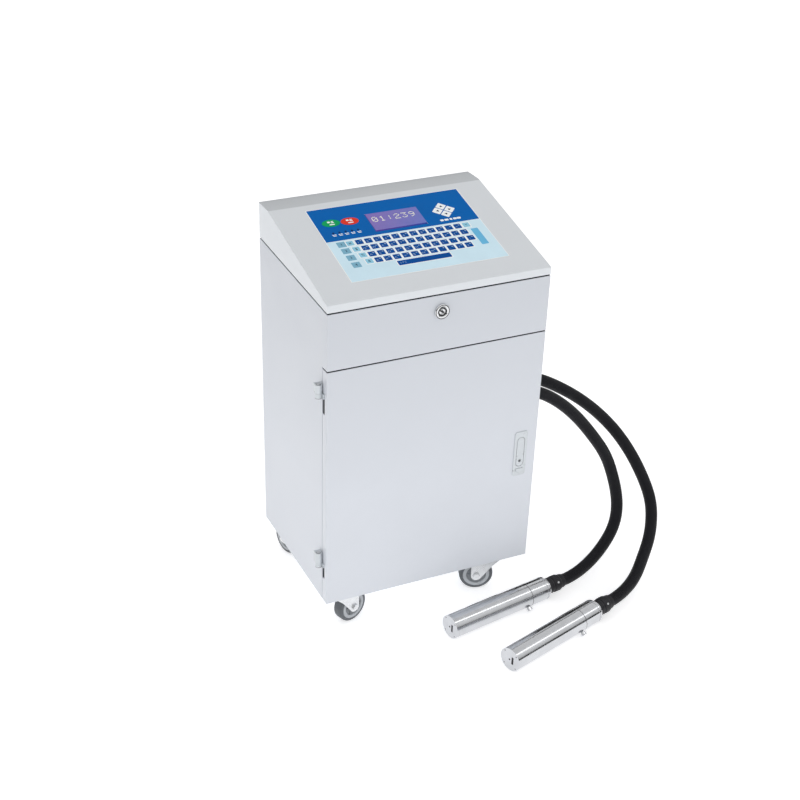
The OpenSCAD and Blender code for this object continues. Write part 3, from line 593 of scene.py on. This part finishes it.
def make_lock():
    """Dished chrome bezel over the lock's barrel, with black rings as painted shade round the key plug and as
    a painted dark reflection on the dish, and a black keyway as painted shade.
    """
    rounded("lock_housing", chrome, 0.0005)
    out = turned((0, FRONT_Y, LOCK_Z), (0, -1, 0))
    bm = bmesh.new()
    dish = [(0.0141, 0.0002), (0.0142, 0.0022), (0.0138, 0.0040), (0.0132, 0.0044), (0.0122, 0.0047),
            (0.0112, 0.0047), (0.0098, 0.0052), (0.0086, 0.0044), (0.0086, 0.0002)]
    add_ring(bm, dish, out, 96)
    piece("lock_bezel", bm, "cabinet", polished, smooth=50)
    # Painted shade round the key plug and a painted dark reflection on the dish, as black rings.
    bm = bmesh.new()
    add_ring(bm, [(0.0062, 0.0034), (0.0086, 0.0034), (0.0086, 0.0041), (0.0062, 0.0041)], out, 64)
    add_ring(bm, [(0.0121, 0.0030), (0.0133, 0.0030), (0.0133, 0.0046), (0.0121, 0.00485)], out, 64)
    piece("lock_shade_rings", bm, "cabinet", black_plastic)
    bm = bmesh.new()
    rim = [(0.0044, 0.0028), (0.0059, 0.0028), (0.0059, 0.0036), (0.0052, 0.0040), (0.0044, 0.0036)]
    add_ring(bm, rim, out, 64)
    piece("plug_rim", bm, "console_lock", polished, smooth=50)
    # Painted shade: a black bar where the keyway opens in the plug.
    bm = bmesh.new()
    tilted = out @ Matrix.Rotation(math.radians(-30), 4, "Z")
    add_box(bm, (-0.0013, -0.0034, 0.0028), (0.0013, 0.0034, 0.0041), tilted)
    piece("keyway_shade", bm, "console_lock", black_plastic)


def make_head_marks(i):
    """Dark seam behind the sliding cover, painted shade on the floor of the slot in the cap and in a dot
    beside it, and the cap's screws.
    """
    along_x = head_frame(i) @ Matrix.Rotation(math.pi / 2, 4, "Y")
    bm = bmesh.new()
    low, high = COVER_L - 0.0001, COVER_L + 0.0011
    add_ring(bm, [(0.0225, low), (0.02395, low), (0.02395, high), (0.0225, high)], along_x, 96)
    piece(f"head_seam_{i}", bm, "cabinet", black_plastic)
    # Painted shade: a dark floor in the cap's slot and a dark dot beside it.
    bm = bmesh.new()
    add_box(bm, (-0.0002, -0.0082, -0.0080), (0.0014, -0.0038, 0.0080), head_frame(i))
    beside = along_x @ Matrix.Translation((0, 0.0015, 0))
    add_lathe(bm, [(0.0018, -0.0002), (0.0018, 0.0014), (0, 0.0014)], beside, 24)
    piece(f"cap_slot_shade_{i}", bm, f"cover_{i}", black_plastic)
    bm = bmesh.new()
    for k in range(4):
        a = math.radians(45 + 90 * k)
        at = along_x @ Matrix.Translation((0.020 * math.cos(a), 0.020 * math.sin(a), 0))
        add_lathe(bm, [(0.0011, 0.0006), (0.0011, 0.0012), (0, 0.0012)], at, 16)
    piece(f"cap_screws_{i}", bm, f"cover_{i}", black_plastic)


# Profile of a hose fitting: radius in metres, and millimetres behind the head
FITTING = [
    (0.0100, 5.2), (0.0158, 5.2), (0.0162, 6.5), (0.0162, 16), (0.0150, 17.5), (0.0150, 19), (0.0165, 20.5),
    (0.0165, 34), (0.0156, 36.5), (0.0142, 37.5), (0.0142, 44), (0.0135, 47), (0.0100, 47),
]


def make_fittings():
    """Hose fitting of each head: ribbed nut with its set screw, and a sleeve round the hose."""
    bm = bmesh.new()
    screws = bmesh.new()
    for i in (1, 2):
        along = head_frame(i) @ Matrix.Translation((HEAD_L, 0, 0)) @ Matrix.Rotation(math.pi / 2, 4, "Y")
        add_lathe(bm, [(r, x * MM) for r, x in FITTING], along, 64)
        for k in range(12):
            rib = along @ Matrix.Rotation(math.pi / 6 * k, 4, "Z")
            add_box(bm, (0.0155, -0.0016, 0.0215), (0.0169, 0.0016, 0.033), rib)
        nut = head_frame(i) @ Matrix.Translation((HEAD_L + 0.027, 0, 0))
        out = nut @ Matrix.Rotation(math.radians(50), 4, "X")
        add_lathe(screws, [(0.0021, 0.0164), (0.0021, 0.0171), (0, 0.0171)], out, 24)
    piece("head_fittings_shaped", bm, "cabinet", black_plastic, 0.0003, replaces=["head_fittings"])
    piece("fitting_screws", screws, "cabinet", zinc)


def add_screw(bm, point, axis, r):
    """Pan head with a cross recess."""
    at = turned(point, axis)
    add_lathe(bm, [(r, 0), (r, 0.3 * r), (0.8 * r, 0.55 * r), (0, 0.65 * r)], at, 24)
    for turn in (0, math.pi / 2):
        arm = at @ Matrix.Rotation(turn, 4, "Z")
        add_box(bm, (-0.55 * r, -0.09 * r, 0.5 * r), (0.55 * r, 0.09 * r, 0.68 * r), arm)


def add_label(name, body, low, high, face):
    """Paper label with a coloured band and plain bars; face is the outward direction along Y."""
    y = low[1]
    thin = 0.0003 * face
    bm = bmesh.new()
    add_box(bm, (low[0], min(y, y + thin), low[2]), (high[0], max(y, y + thin), high[2]))
    piece(name + "_paper", bm, body, label_white)
    w, h = high[0] - low[0], high[2] - low[2]
    y0, y1 = sorted((y + 0.9 * thin, y + 1.5 * thin))
    bm = bmesh.new()
    add_box(bm, (low[0] + 0.04 * w, y0, low[2] + 0.76 * h), (high[0] - 0.04 * w, y1, low[2] + 0.95 * h))
    piece(name + "_band", bm, body, dark_blue)
    bm = bmesh.new()
    for k, share in enumerate((0.8, 0.6, 0.7, 0.45)):
        z = low[2] + (0.62 - 0.14 * k) * h
        add_box(bm, (low[0] + 0.1 * w, y0, z), (low[0] + share * w, y1, z + 0.045 * h))
    piece(name + "_bars", bm, body, dark_print)


def make_back_details():
    """Screws of the grille, the inlet and the lid hinges, socket threads and the rating label."""
    plate = BACK_Y + 0.0025
    bm = bmesh.new()
    for x in (0.084, 0.176):
        for z in (0.374, 0.466):
            add_screw(bm, (x, BACK_Y + 0.0015, z), (0, 1, 0), 0.0032)
    for z in (0.398, 0.462):
        add_screw(bm, (-0.140, plate, z), (0, 1, 0), 0.0026)
    for x in (-0.162, -0.118, 0.118, 0.162):
        for z in (0.682, 0.747):
            add_screw(bm, (x, plate, z), (0, 1, 0), 0.0030)
    piece("back_screws", bm, "cabinet", zinc)
    bm = bmesh.new()
    for x in (-0.060, -0.030, 0.0):
        at = turned((x, BACK_Y + 0.002, 0.415), (0, 1, 0))
        for k in range(4):
            z = 0.0012 + 0.0014 * k
            add_ring(bm, [(0.0089, z), (0.0094, z + 0.0004), (0.0089, z + 0.0008)], at, 48)
    piece("socket_threads", bm, "cabinet", alloy)
    add_label("rating_label", "cabinet", (-0.175, BACK_Y, 0.520), (-0.105, BACK_Y, 0.565), 1)


# Floor of the drip tray, on which the bottles and the tank stand
TRAY_Z = 0.102


def add_cap_ribs(bm, x, y, height, r, tall, count):
    """Grip ribs round a screw cap that starts at a height over the tray."""
    for k in range(count):
        rib = Matrix.Translation((x, y, TRAY_Z + height)) @ Matrix.Rotation(2 * math.pi / count * k, 4, "Z")
        add_box(bm, (r[0], -0.0007, 0), (r[1], 0.0007, tall), rib)


def make_ink_details():
    """Labels and cap ribs of the bottles and the tank, and the bands of the filters."""
    bm = bmesh.new()
    for x, name in ((-0.020, "ink"), (0.070, "solvent")):
        low, high = (x - 0.026, -0.0631, TRAY_Z + 0.040), (x + 0.026, -0.0631, TRAY_Z + 0.105)
        add_label(name + "_label", "cabinet", low, high, -1)
        add_cap_ribs(bm, x, -0.025, 0.153, (0.0186, 0.0197), 0.017, 30)
    add_cap_ribs(bm, -0.150, 0.085, 0.151, (0.0236, 0.0248), 0.012, 36)
    piece("cap_ribs", bm, "cabinet", cap_blue)
    low, high = (-0.160, -0.0001, TRAY_Z + 0.060), (-0.095, -0.0001, TRAY_Z + 0.110)
    add_label("tank_label", "cabinet", low, high, -1)
    bm = bmesh.new()
    for y in (0.025, 0.105):
        at = Matrix.Translation((0.150, y, 0.240))
        for z in (0.008, 0.014, 0.076, 0.082):
            add_ring(bm, [(0.0268, z), (0.0280, z + 0.0012), (0.0268, z + 0.0024)], at, 64)
    piece("filter_bands", bm, "cabinet", zinc, smooth=50)


# Face of the main board, its capacitors by middle and radius, and its chips by corner and size
BOARD_Y = 0.1444
CAPACITORS = [
    (-0.095, 0.535, 0.006), (-0.080, 0.535, 0.006), (-0.065, 0.535, 0.006), (0.075, 0.505, 0.008),
    (0.095, 0.505, 0.008), (0.020, 0.515, 0.005), (0.034, 0.515, 0.005),
]
CHIPS = [(-0.030, 0.525, 0.022, 0.010), (-0.100, 0.600, 0.012, 0.012), (0.015, 0.620, 0.030, 0.008)]


def make_board_details():
    """Capacitors, chips and pins on the main board, and the warning label on the high-voltage module."""
    bm = bmesh.new()
    for x, z, r in CAPACITORS:
        at = turned((x, BOARD_Y, z), (0, -1, 0))
        add_lathe(bm, [(r, 0), (r, 0.011), (r - 0.0006, 0.012), (0, 0.0116)], at, 32)
    piece("board_capacitors", bm, "cabinet", cap_blue, smooth=40)
    bm = bmesh.new()
    for x, z, w, h in CHIPS:
        add_box(bm, (x, BOARD_Y - 0.003, z), (x + w, BOARD_Y + 0.0001, z + h))
    piece("board_chips", bm, "cabinet", black_plastic, 0.0002)
    bm = bmesh.new()
    for k in range(5):
        for j in range(6):
            x = -0.103 + 0.042 * k + 0.0048 * j
            add_box(bm, (x, BOARD_Y - 0.0125, 0.4795), (x + 0.0012, BOARD_Y - 0.0115, 0.4865))
    for k in range(14):
        for z in (0.5590, 0.6002):
            x = -0.0195 + 0.0029 * k
            add_box(bm, (x, BOARD_Y - 0.0012, z), (x + 0.0012, BOARD_Y - 0.0002, z + 0.0012))
    piece("board_pins", bm, "cabinet", copper)
    bm = bmesh.new()
    at = turned((-0.005, 0.0399, 0.362), (0, -1, 0), (1, 0, 0))
    add_plate(bm, [(-0.014, 0), (0.014, 0), (0, 0.024)], 0, 0.0003, at)
    piece("voltage_label", bm, "cabinet", label_yellow)


# Axis of the door's hinges, and the half width and upper edge of the door
HINGE_XY = (-0.222, -0.141)
DOOR_X = 0.2143
DOOR_TOP = (0.5898, 0.5906)


def make_hinge_details():
    """Dark strip along the door's upper edge and dark sheets behind its slots, as painted shade in those
    gaps; dark rings under the door's knuckles, as painted shadow in the gaps below them; marks at the tops of
    the hinge knuckles.
    """
    low, high = DOOR_TOP
    bm = bmesh.new()
    # Painted shade: dark strip and sheets in the gap along the door's top edge and behind its hinge slots.
    add_box(bm, (-DOOR_X, -0.1613, low), (DOOR_X, -0.1560, high))
    for x0, x1 in ((-DOOR_X, -0.2100), (0.2100, DOOR_X)):
        add_box(bm, (x0, -0.1560, low), (x1, -0.1430, high))
    for z0, z1 in ((0.500, 0.536), (0.146, 0.1765)):
        add_box(bm, (-0.2134, -0.1530, z0), (-0.2129, -0.1422, z1))
    piece("door_gap_shade", bm, "door", rubber)
    # Painted shadow: a dark ring in the gap under each door knuckle.
    for z, name in ((0.534, "upper"), (0.1745, "lower")):
        bm = bmesh.new()
        gap_shadow_profile = [(0.0042, -0.0005), (0.0065, -0.0005), (0.0065, 0), (0.0042, 0)]
        add_ring(bm, gap_shadow_profile, Matrix.Translation((*HINGE_XY, z)), 32)
        piece(f"hinge_gap_shadow_{name}", bm, "door", black_plastic)
    for z, name in ((0.560, "upper"), (0.205, "lower")):
        bm = bmesh.new()
        ring = [(0.0030, -0.0002), (0.0042, -0.0002), (0.0042, 0.0003), (0.0030, 0.0003)]
        add_ring(bm, ring, Matrix.Translation((*HINGE_XY, z)), 32)
        piece(f"hinge_ring_{name}", bm, "cabinet", black_plastic)


make_back_details()
make_ink_details()
make_board_details()
make_hinge_details()
rounded("cabinet_shell", paint, 0.0008)
rounded("door_pan", paint, 0.0007)
rounded("lid_shell", lid_paint, 0.0011, 3)
dress("top_gasket", rubber)
dress("door_gasket", foam)
for node in ("hinge_leaves", "door_hinge_leaves"):
    rounded(node, latch_metal, 0.0005)
rounded("lid_hinge_leaves", zinc, 0.0004)
rounded("hinge_pins", zinc, 0.0004)
rounded("equipment_shelf", zinc, 0.0004)
rounded("power_supply", zinc, 0.0006)
rounded("main_board", board, 0.0003)
rounded("hv_module", black_plastic, 0.001)
rounded("fan_frame", black_plastic, 0.0008)
rounded("vent_grille", grey_plastic, 0.0005)
rounded("power_inlet", black_plastic, 0.0006)
rounded("signal_sockets", alloy, 0.0004)
rounded("hose_glands", black_plastic, 0.0007)
rounded("ink_tank", black_plastic, 0.004, 3)
rounded("ink_bottle", black_plastic, 0.0015)
rounded("solvent_bottle", clear_tube, 0.0015)
rounded("filters", alloy, 0.001)
rounded("ink_pump", alloy, 0.001)
rounded("valve_manifold", alloy, 0.0006)
dress("ink_tubes", clear_tube)
rounded("drip_tray", zinc, 0.0004)
make_lock()
rounded("caster_plates", bright_zinc, 0.0006)
rounded("head_chassis", alloy, 0.0004)
rounded("nozzle_units", alloy, 0.0004)
rounded("deflector_sets", zinc, 0.0003)
make_fittings()
rounded("keypad_board", board, 0.0003)
rounded("lid_catch", zinc, 0.0003)
rounded("lock_plug", chrome, 0.0003)
rounded("latch_bezel", latch_metal, 0.0004)
rounded("latch_paddle", latch_metal, 0.0007)
rounded("latch_button", latch_metal, 0.0005)
rounded("latch_cam", zinc, 0.0003)
rounded("fan_impeller", grey_plastic, 0.0003)
rounded("power_rocker", red_print, 0.0005)
dress("lcd_module", display)
for k in ("fl", "fr", "bl", "br"):
    rounded("fork_" + k, bright_zinc, 0.0006)
for i in (1, 2):
    metal = head_metal(f"head_steel_{i}", HEAD_YAW[i])
    rounded(f"head_cover_{i}", metal, 0.0003)
    rounded(f"head_cap_{i}", metal, 0.0005)
    rounded(f"thumb_screw_{i}", chrome, 0.0005)
for i in (1, 2):
    make_head_marks(i)
# One finish for both rear blocks, halfway between the directions of the heads
rounded("head_rear_blocks", head_metal("head_steel_rear", math.radians(13)), 0.0008)


# ---------------------------------------------------------------- key overlay

# Frame on the lid's slope: X to the right, Y up the slope from its front edge. Sizes here are in millimetres.
LID_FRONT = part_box("lid_shell")[0].y
LID_EDGE = 0.7158
SLOPE = math.radians(14.04)
SLOPE_FRAME = Matrix.Translation((0, LID_FRONT, LID_EDGE)) @ Matrix.Rotation(SLOPE, 4, "X")


def add_shape(bm, outline, z0, z1, at=SLOPE_FRAME):
    """Outline on the slope, from z0 to z1 over it."""
    add_plate(bm, [(x * MM, y * MM) for x, y in outline], z0 * MM, z1 * MM, at)


def add_pad(bm, x, s, w, h, r, z0, z1):
    """Pad with round corners, with its middle at x and s."""
    add_shape(bm, round_rect(x, s, w, h, r), z0, z1)


def strip(bm, x0, s0, x1, s1, z0=0.5, z1=0.6):
    """Square-cornered strip between two corners."""
    add_box(bm, (x0 * MM, s0 * MM, z0 * MM), (x1 * MM, s1 * MM, z1 * MM), SLOPE_FRAME)


def overlay_piece(name, material, fill):
    """Piece of the overlay; fill puts its shapes into an empty bmesh."""
    bm = bmesh.new()
    fill(bm)
    return piece(name, bm, "console", material)


OVERLAY_X = 3
OVERLAY_W = 306
OVERLAY_LOW, OVERLAY_TOP = 49, 267
# White edge that the film leaves round the printed panels, and the line between the two panels
EDGE = 1.3
LEFT, RIGHT = OVERLAY_X - OVERLAY_W / 2 + EDGE, OVERLAY_X + OVERLAY_W / 2 - EDGE
BAND_S = 167
PITCH = 17.7
# Middle height of each row of keys on the slope, its first key, and its characters
KEY_ROWS = [
    (154.7, -90.7, "1234567890-="),
    (135.7, -86.5, "QWERTYUIOP[]"),
    (116.3, -82.5, "ASDFGHJKL;'/"),
    (97.8, -77.8, "ZXCVBNM,.?+"),
]
# Middles of the pale keys; middles and sizes of the two bars
LIGHT_KEYS = [(-108.6, 154.7), (-104.2, 135.9), (-99.8, 117), (-95.4, 98), (121.5, 154.7)]
FUNCTION_KEYS = [(-125, 154.7), (-124, 135), (-123, 114.5), (-122, 93.5)]
SPACE_BAR = (2.5, 79, 103, 13)
ENTER_BAR = (130.5, 117, 14, 49)
GREEN_OVAL = (-118.4, 220)
RED_OVAL = (-82.6, 218)
LAMPS_X = [-126 + 12 * k for k in range(5)]
LAMPS_S = 190.5
# Middles of the arrow keys, and the way each one points
ARROWS = [(101, 220.3, 0), (113.3, 208, -90), (101, 195.7, 180), (88.7, 208, 90)]
ARROW_SIDE = 15.6
# Middle and size of the display
LCD = (3, 203.5, 103, 55)
# Underside and top of the key faces, over the lid's slope
KEY_LOW, KEY_TOP = 0.66, 0.78


def film(bm):
    """White film with a window over the display; its edge shows round the printed panels."""
    x, y, w, h = LCD
    left, right = OVERLAY_X - OVERLAY_W / 2, OVERLAY_X + OVERLAY_W / 2
    x0, x1, y0, y1 = x - w / 2, x + w / 2, y - h / 2, y + h / 2
    strip(bm, left, OVERLAY_LOW, right, y0, 0, 0.5)
    strip(bm, left, y1, right, OVERLAY_TOP, 0, 0.5)
    strip(bm, left, y0, x0, y1, 0, 0.5)
    strip(bm, x1, y0, right, y1, 0, 0.5)


def upper_panel(bm):
    x, y, w, h = LCD
    strip(bm, LEFT, BAND_S, x - w / 2, OVERLAY_TOP - EDGE)
    strip(bm, x + w / 2, BAND_S, RIGHT, OVERLAY_TOP - EDGE)
    strip(bm, x - w / 2, y + h / 2, x + w / 2, OVERLAY_TOP - EDGE)
    strip(bm, x - w / 2, BAND_S, x + w / 2, y - h / 2)


def lower_panel(bm):
    strip(bm, LEFT, OVERLAY_LOW + 0.6, RIGHT, BAND_S - 1)


def all_keys():
    """Middle and character of every dark key."""
    for s, first, letters in KEY_ROWS:
        for k, letter in enumerate(letters):
            yield first + k * PITCH, s, letter


def key_frames(bm):
    for x, s, _ in all_keys():
        add_pad(bm, x, s, 17.2, 17.2, 1.5, 0.5, KEY_LOW)
    for x, s in LIGHT_KEYS:
        add_pad(bm, x, s, 16.6, 16.6, 1.5, 0.5, KEY_LOW)
    x, s, w, h = SPACE_BAR
    add_pad(bm, x, s, w + 3.4, h + 3.4, 1.5, 0.5, 0.67)
    for x, s, _ in ARROWS:
        at = SLOPE_FRAME @ Matrix.Translation((x * MM, s * MM, 0)) @ Matrix.Rotation(math.radians(45), 4, "Z")
        add_shape(bm, round_rect(0, 0, ARROW_SIDE, ARROW_SIDE, 1.4), 0.6, 0.72, at)


def key_faces(bm):
    for x, s, _ in all_keys():
        add_pad(bm, x, s, 13.6, 13.6, 1, KEY_LOW, KEY_TOP)
    x, s, w, h = SPACE_BAR
    add_pad(bm, x, s, w, h, 1, KEY_LOW, KEY_TOP)


def light_faces(bm):
    for x, s in LIGHT_KEYS:
        add_pad(bm, x, s, 13.2, 13.2, 1, KEY_LOW, KEY_TOP)


def function_faces(bm):
    for x, s in FUNCTION_KEYS:
        add_pad(bm, x, s, 16, 15, 1, 0.6, 0.75)


def enter_face(bm):
    x, s, w, h = ENTER_BAR
    add_pad(bm, x, s, w, h, 1, 0.6, 0.75)


def legends(bm):
    """Characters and small second marks of the dark keys."""
    for x, s, letter in all_keys():
        add_text(bm, letter, (x - 2.4) * MM, (s - 1.6) * MM, 0.0074, 0.00083, SLOPE_FRAME)
        strip(bm, x + 1.9, s + 1.7, x + 5, s + 4.2, 0.77, 0.83)
    x, s = SPACE_BAR[:2]
    for k, mark in enumerate("SPC"):
        add_text(bm, mark, (x - 46 + 4.6 * k) * MM, s * MM, 0.0058, 0.00083, SLOPE_FRAME)


def dark_legends(bm):
    """Marks on the pale keys, the triangles of the arrow keys and the row of lamps."""
    for (x, s), mark in zip([*LIGHT_KEYS, *FUNCTION_KEYS], "#$%&<1234"):
        add_text(bm, mark, x * MM, s * MM, 0.0085, 0.00084, SLOPE_FRAME)
    for x, s, turn in ARROWS:
        c, n = math.cos(math.radians(turn)), math.sin(math.radians(turn))
        tip = [(-3, -2.2), (3, -2.2), (0, 3)]
        add_shape(bm, [(x + px * c - py * n, s + px * n + py * c) for px, py in tip], 0.72, 0.8)
    for x in LAMPS_X:
        add_shape(bm, ellipse(x, LAMPS_S, 4, 4, 16), 0.6, 0.8)


def pale_marks(bm):
    """Icons on the two oval keys, the marks under the lamps and a plain row of blocks under the arrows."""
    for x, s in (GREEN_OVAL, RED_OVAL):
        for dx, dy, w, h in ((-3.5, 3.5, 5, 4.5), (3.5, 4.6, 4.5, 2.2), (3, 1, 6, 2.4), (0.5, -4.5, 10, 2.6)):
            add_pad(bm, x + dx, s + dy, w, h, 0.6, 0.9, 0.97)
    for x in LAMPS_X:
        for dx, dy, w in ((-2.4, -5.8, 3.2), (2, -5.2, 3.6), (0.2, -8.6, 6.4)):
            add_pad(bm, x + dx, LAMPS_S + dy, w, 1.8, 0.5, 0.6, 0.68)
    for x, w in ((84, 7), (93, 8), (102, 5), (110, 7), (118, 8)):
        add_pad(bm, x, 178.5, w, 5.4, 1.6, 0.6, 0.7)


def oval_key(middle):
    """Filler for an overlay piece: one oval key."""
    return lambda bm: add_shape(bm, ellipse(*middle, 34.5, 21.5), 0.6, 0.9)


def make_overlay():
    base = overlay_piece("overlay_film", white_print, film)
    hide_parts("key_overlay")
    overlay_piece("overlay_upper", dark_blue, upper_panel)
    overlay_piece("overlay_lower", light_blue, lower_panel)
    overlay_piece("key_frames", white_print, key_frames)
    overlay_piece("keys_dark", key_blue, key_faces)
    overlay_piece("keys_light", key_teal, light_faces)
    overlay_piece("keys_function", key_slate, function_faces)
    overlay_piece("key_enter", enter_blue, enter_face)
    overlay_piece("key_legends", legend_pale, legends)
    overlay_piece("key_marks", dark_print, dark_legends)
    overlay_piece("key_green", green_print, oval_key(GREEN_OVAL))
    overlay_piece("key_red", red_print, oval_key(RED_OVAL))
    overlay_piece("overlay_marks", white_print, pale_marks)


# Rows of dots of the characters on the display
GLYPHS = [
    "01110 10001 10011 10101 11001 10001 01110", "00100 01100 00100 00100 00100 00100 01110",
    "00000 00100 00100 00000 00100 00100 00000", "01110 10001 00001 00110 01000 10000 11111",
    "11111 00010 00100 00010 00001 10001 01110", "01110 10001 10001 01111 00001 00010 01100",
]


def make_display():
    """Generic digits in square dots, like one line of large characters."""
    cell = 2.15
    dot = cell * 0.86
    bm = bmesh.new()
    for g, glyph in enumerate(GLYPHS):
        for row, bits in enumerate(glyph.split()):
            for col, bit in enumerate(bits):
                if bit == "1":
                    x = LCD[0] - 44 + 14.8 * g + col * cell
                    s = LCD[1] + 14 - row * cell
                    strip(bm, x, s, x + dot, s + dot, 0.5, 0.58)
    piece("lcd_dots", bm, "console", cream_print)


make_overlay()
make_display()


# ---------------------------------------------------------------- casters

# Radius of a wheel, and how far it trails behind the swivel axis
WHEEL_R = 0.034
TRAIL = 0.022
# Swivel axis of each caster in millimetres, and the direction it trails in
CASTERS = {"fl": (-160, -108, 20), "fr": (160, -108, 160), "bl": (-160, 139, 104), "br": (160, 139, 35)}


def caster_frame(k):
    """Frame on the floor under a caster's swivel axis, X towards its wheel."""
    x, y, yaw = CASTERS[k]
    return Matrix.Translation((x * MM, y * MM, 0)) @ Matrix.Rotation(math.radians(yaw), 4, "Z")


def make_wheel(k):
    """Tread, side rings and hub of one caster wheel, as rings round the axle."""
    axle = caster_frame(k) @ Matrix.Translation((TRAIL, 0, WHEEL_R)) @ Matrix.Rotation(math.pi / 2, 4, "X")
    half = 0.011
    tread = [(0.0270, -half), (0.0290, -half), (0.0318, -half + 0.0006), (0.0334, -half + 0.0020),
             (WHEEL_R, -half + 0.0046), (WHEEL_R, half - 0.0046), (0.0334, half - 0.0020),
             (0.0318, half - 0.0006), (0.0290, half), (0.0270, half)]
    band = [(0.0196, -half + 0.0012), (0.0206, -half - 0.0002), (0.0262, -half - 0.0002),
            (0.0271, -half + 0.0006), (0.0271, half - 0.0006), (0.0262, half + 0.0002),
            (0.0206, half + 0.0002), (0.0196, half - 0.0012)]
    disc = [(0.0095, -half + 0.0018), (0.0197, -half + 0.0018), (0.0197, half - 0.0018),
            (0.0095, half - 0.0018)]
    hub = [(0.0042, -half - 0.0010), (0.0096, -half - 0.0010), (0.0104, -half - 0.0002),
           (0.0104, half + 0.0002), (0.0096, half + 0.0010), (0.0042, half + 0.0010)]
    parts = (("tread", tyre_dark, tread), ("band", tyre_light, band), ("disc", hub_grey, disc),
             ("hub", tyre_light, hub))
    for name, material, profile in parts:
        bm = bmesh.new()
        add_ring(bm, profile, axle, 96)
        if name == "disc":
            for s in range(6):
                for side in (-1, 1):
                    spoke = axle @ Matrix.Rotation(math.pi / 3 * s, 4, "Z")
                    z = side * (half - 0.0012)
                    add_box(bm, (0.0098, -0.0008, z - 0.0007), (0.0194, 0.0008, z + 0.0007), spoke)
        made = piece(f"wheel_{name}_{k}", bm, "rolling_" + k, material, smooth=40)
        if name == "tread":
            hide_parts("wheel_" + k)


for k in CASTERS:
    make_wheel(k)


# ---------------------------------------------------------------- studio


# Brightness of the surroundings by the height of the direction, from the horizon to overhead
SKY = [(0.0, 0.02), (0.01, 0.01), (0.16, 0.01), (0.23, 0.66), (0.55, 0.95), (1.0, 0.66)]


def make_world():
    """Soft surroundings with a dark band over the horizon, which the polished parts mirror."""
    world = bpy.data.worlds.new("studio")
    scene.world = world
    world.use_nodes = True
    tree = world.node_tree
    where = tree.nodes.new("ShaderNodeTexCoord")
    split = tree.nodes.new("ShaderNodeSeparateXYZ")
    ramp = tree.nodes.new("ShaderNodeValToRGB")
    stops = ramp.color_ramp.elements
    while len(stops) < len(SKY):
        stops.new(0.5)
    for stop, (at, level) in zip(stops, SKY):
        stop.position = at
        stop.color = (level, level, level, 1)
    tree.links.new(where.outputs["Generated"], split.inputs[0])
    tree.links.new(split.outputs[2], ramp.inputs[0])
    tree.links.new(ramp.outputs[0], tree.nodes["Background"].inputs[0])


def stage_surface(name, tone, rough, size, glow):
    """Nearly even finish that glows a little, for the studio."""
    return surface(name, tone, rough, mottle=0.01, mottle_size=size, grain=0.00001,
                   **{"Emission Color": (1, 1, 1, 1), "Emission Strength": glow})


def make_floor():
    bm = bmesh.new()
    bmesh.ops.create_grid(bm, x_segments=1, y_segments=1, size=40)
    floor = mesh_object("floor", bm, stage_surface("studio_floor", (0.86, 0.86, 0.87), 0.7, 0.6, 0.5))


def make_wall():
    """Pale wall far round the object, seen by the camera and by nothing else."""
    bm = bmesh.new()
    bmesh.ops.create_cone(bm, cap_ends=False, segments=96, radius1=18, radius2=18, depth=30)
    wall = mesh_object("wall", bm, stage_surface("studio_wall", (0.9, 0.9, 0.9), 0.8, 2, 0.9))
    wall.visible_diffuse = False
    wall.visible_glossy = False
    wall.visible_transmission = False
    wall.visible_shadow = False


def make_card(name, low, high, tone, glow):
    """Card that only the polished parts mirror."""
    bm = bmesh.new()
    add_box(bm, low, high)
    card = mesh_object(name, bm, stage_surface(name + "_face", (tone, tone, tone), 0.8, 2, glow))
    card.visible_camera = False
    card.visible_diffuse = False
    card.visible_transmission = False
    card.visible_shadow = False


def make_light(name, at, aim, watts):
    """Large soft lamp that no part mirrors."""
    data = bpy.data.lights.new(name, "AREA")
    data.shape = "RECTANGLE"
    data.size, data.size_y = 1.6, 1.2
    data.energy = watts
    lamp = bpy.data.objects.new(name, data)
    scene.collection.objects.link(lamp)
    lamp.location = at
    lamp.visible_glossy = False
    lamp.rotation_euler = (Vector(aim) - Vector(at)).to_track_quat("-Z", "Y").to_euler()


def make_studio():
    make_floor()
    make_wall()
    make_card("bright_strip", (-4, -2.2, 4.15), (6, -1.5, 4.2), 0.9, 1.5)
    make_card("dark_flag", (-8, 5.0, 0.3), (12, 5.1, 3.3), 0.02, 0)
    make_light("key", (-2.1, -2.9, 2.3), (0, 0, 0.45), 16)
    make_light("fill", (2.2, -3.0, 1.5), (0, 0, 0.4), 8)


make_world()
make_studio()
scene.view_settings.view_transform = "Standard"
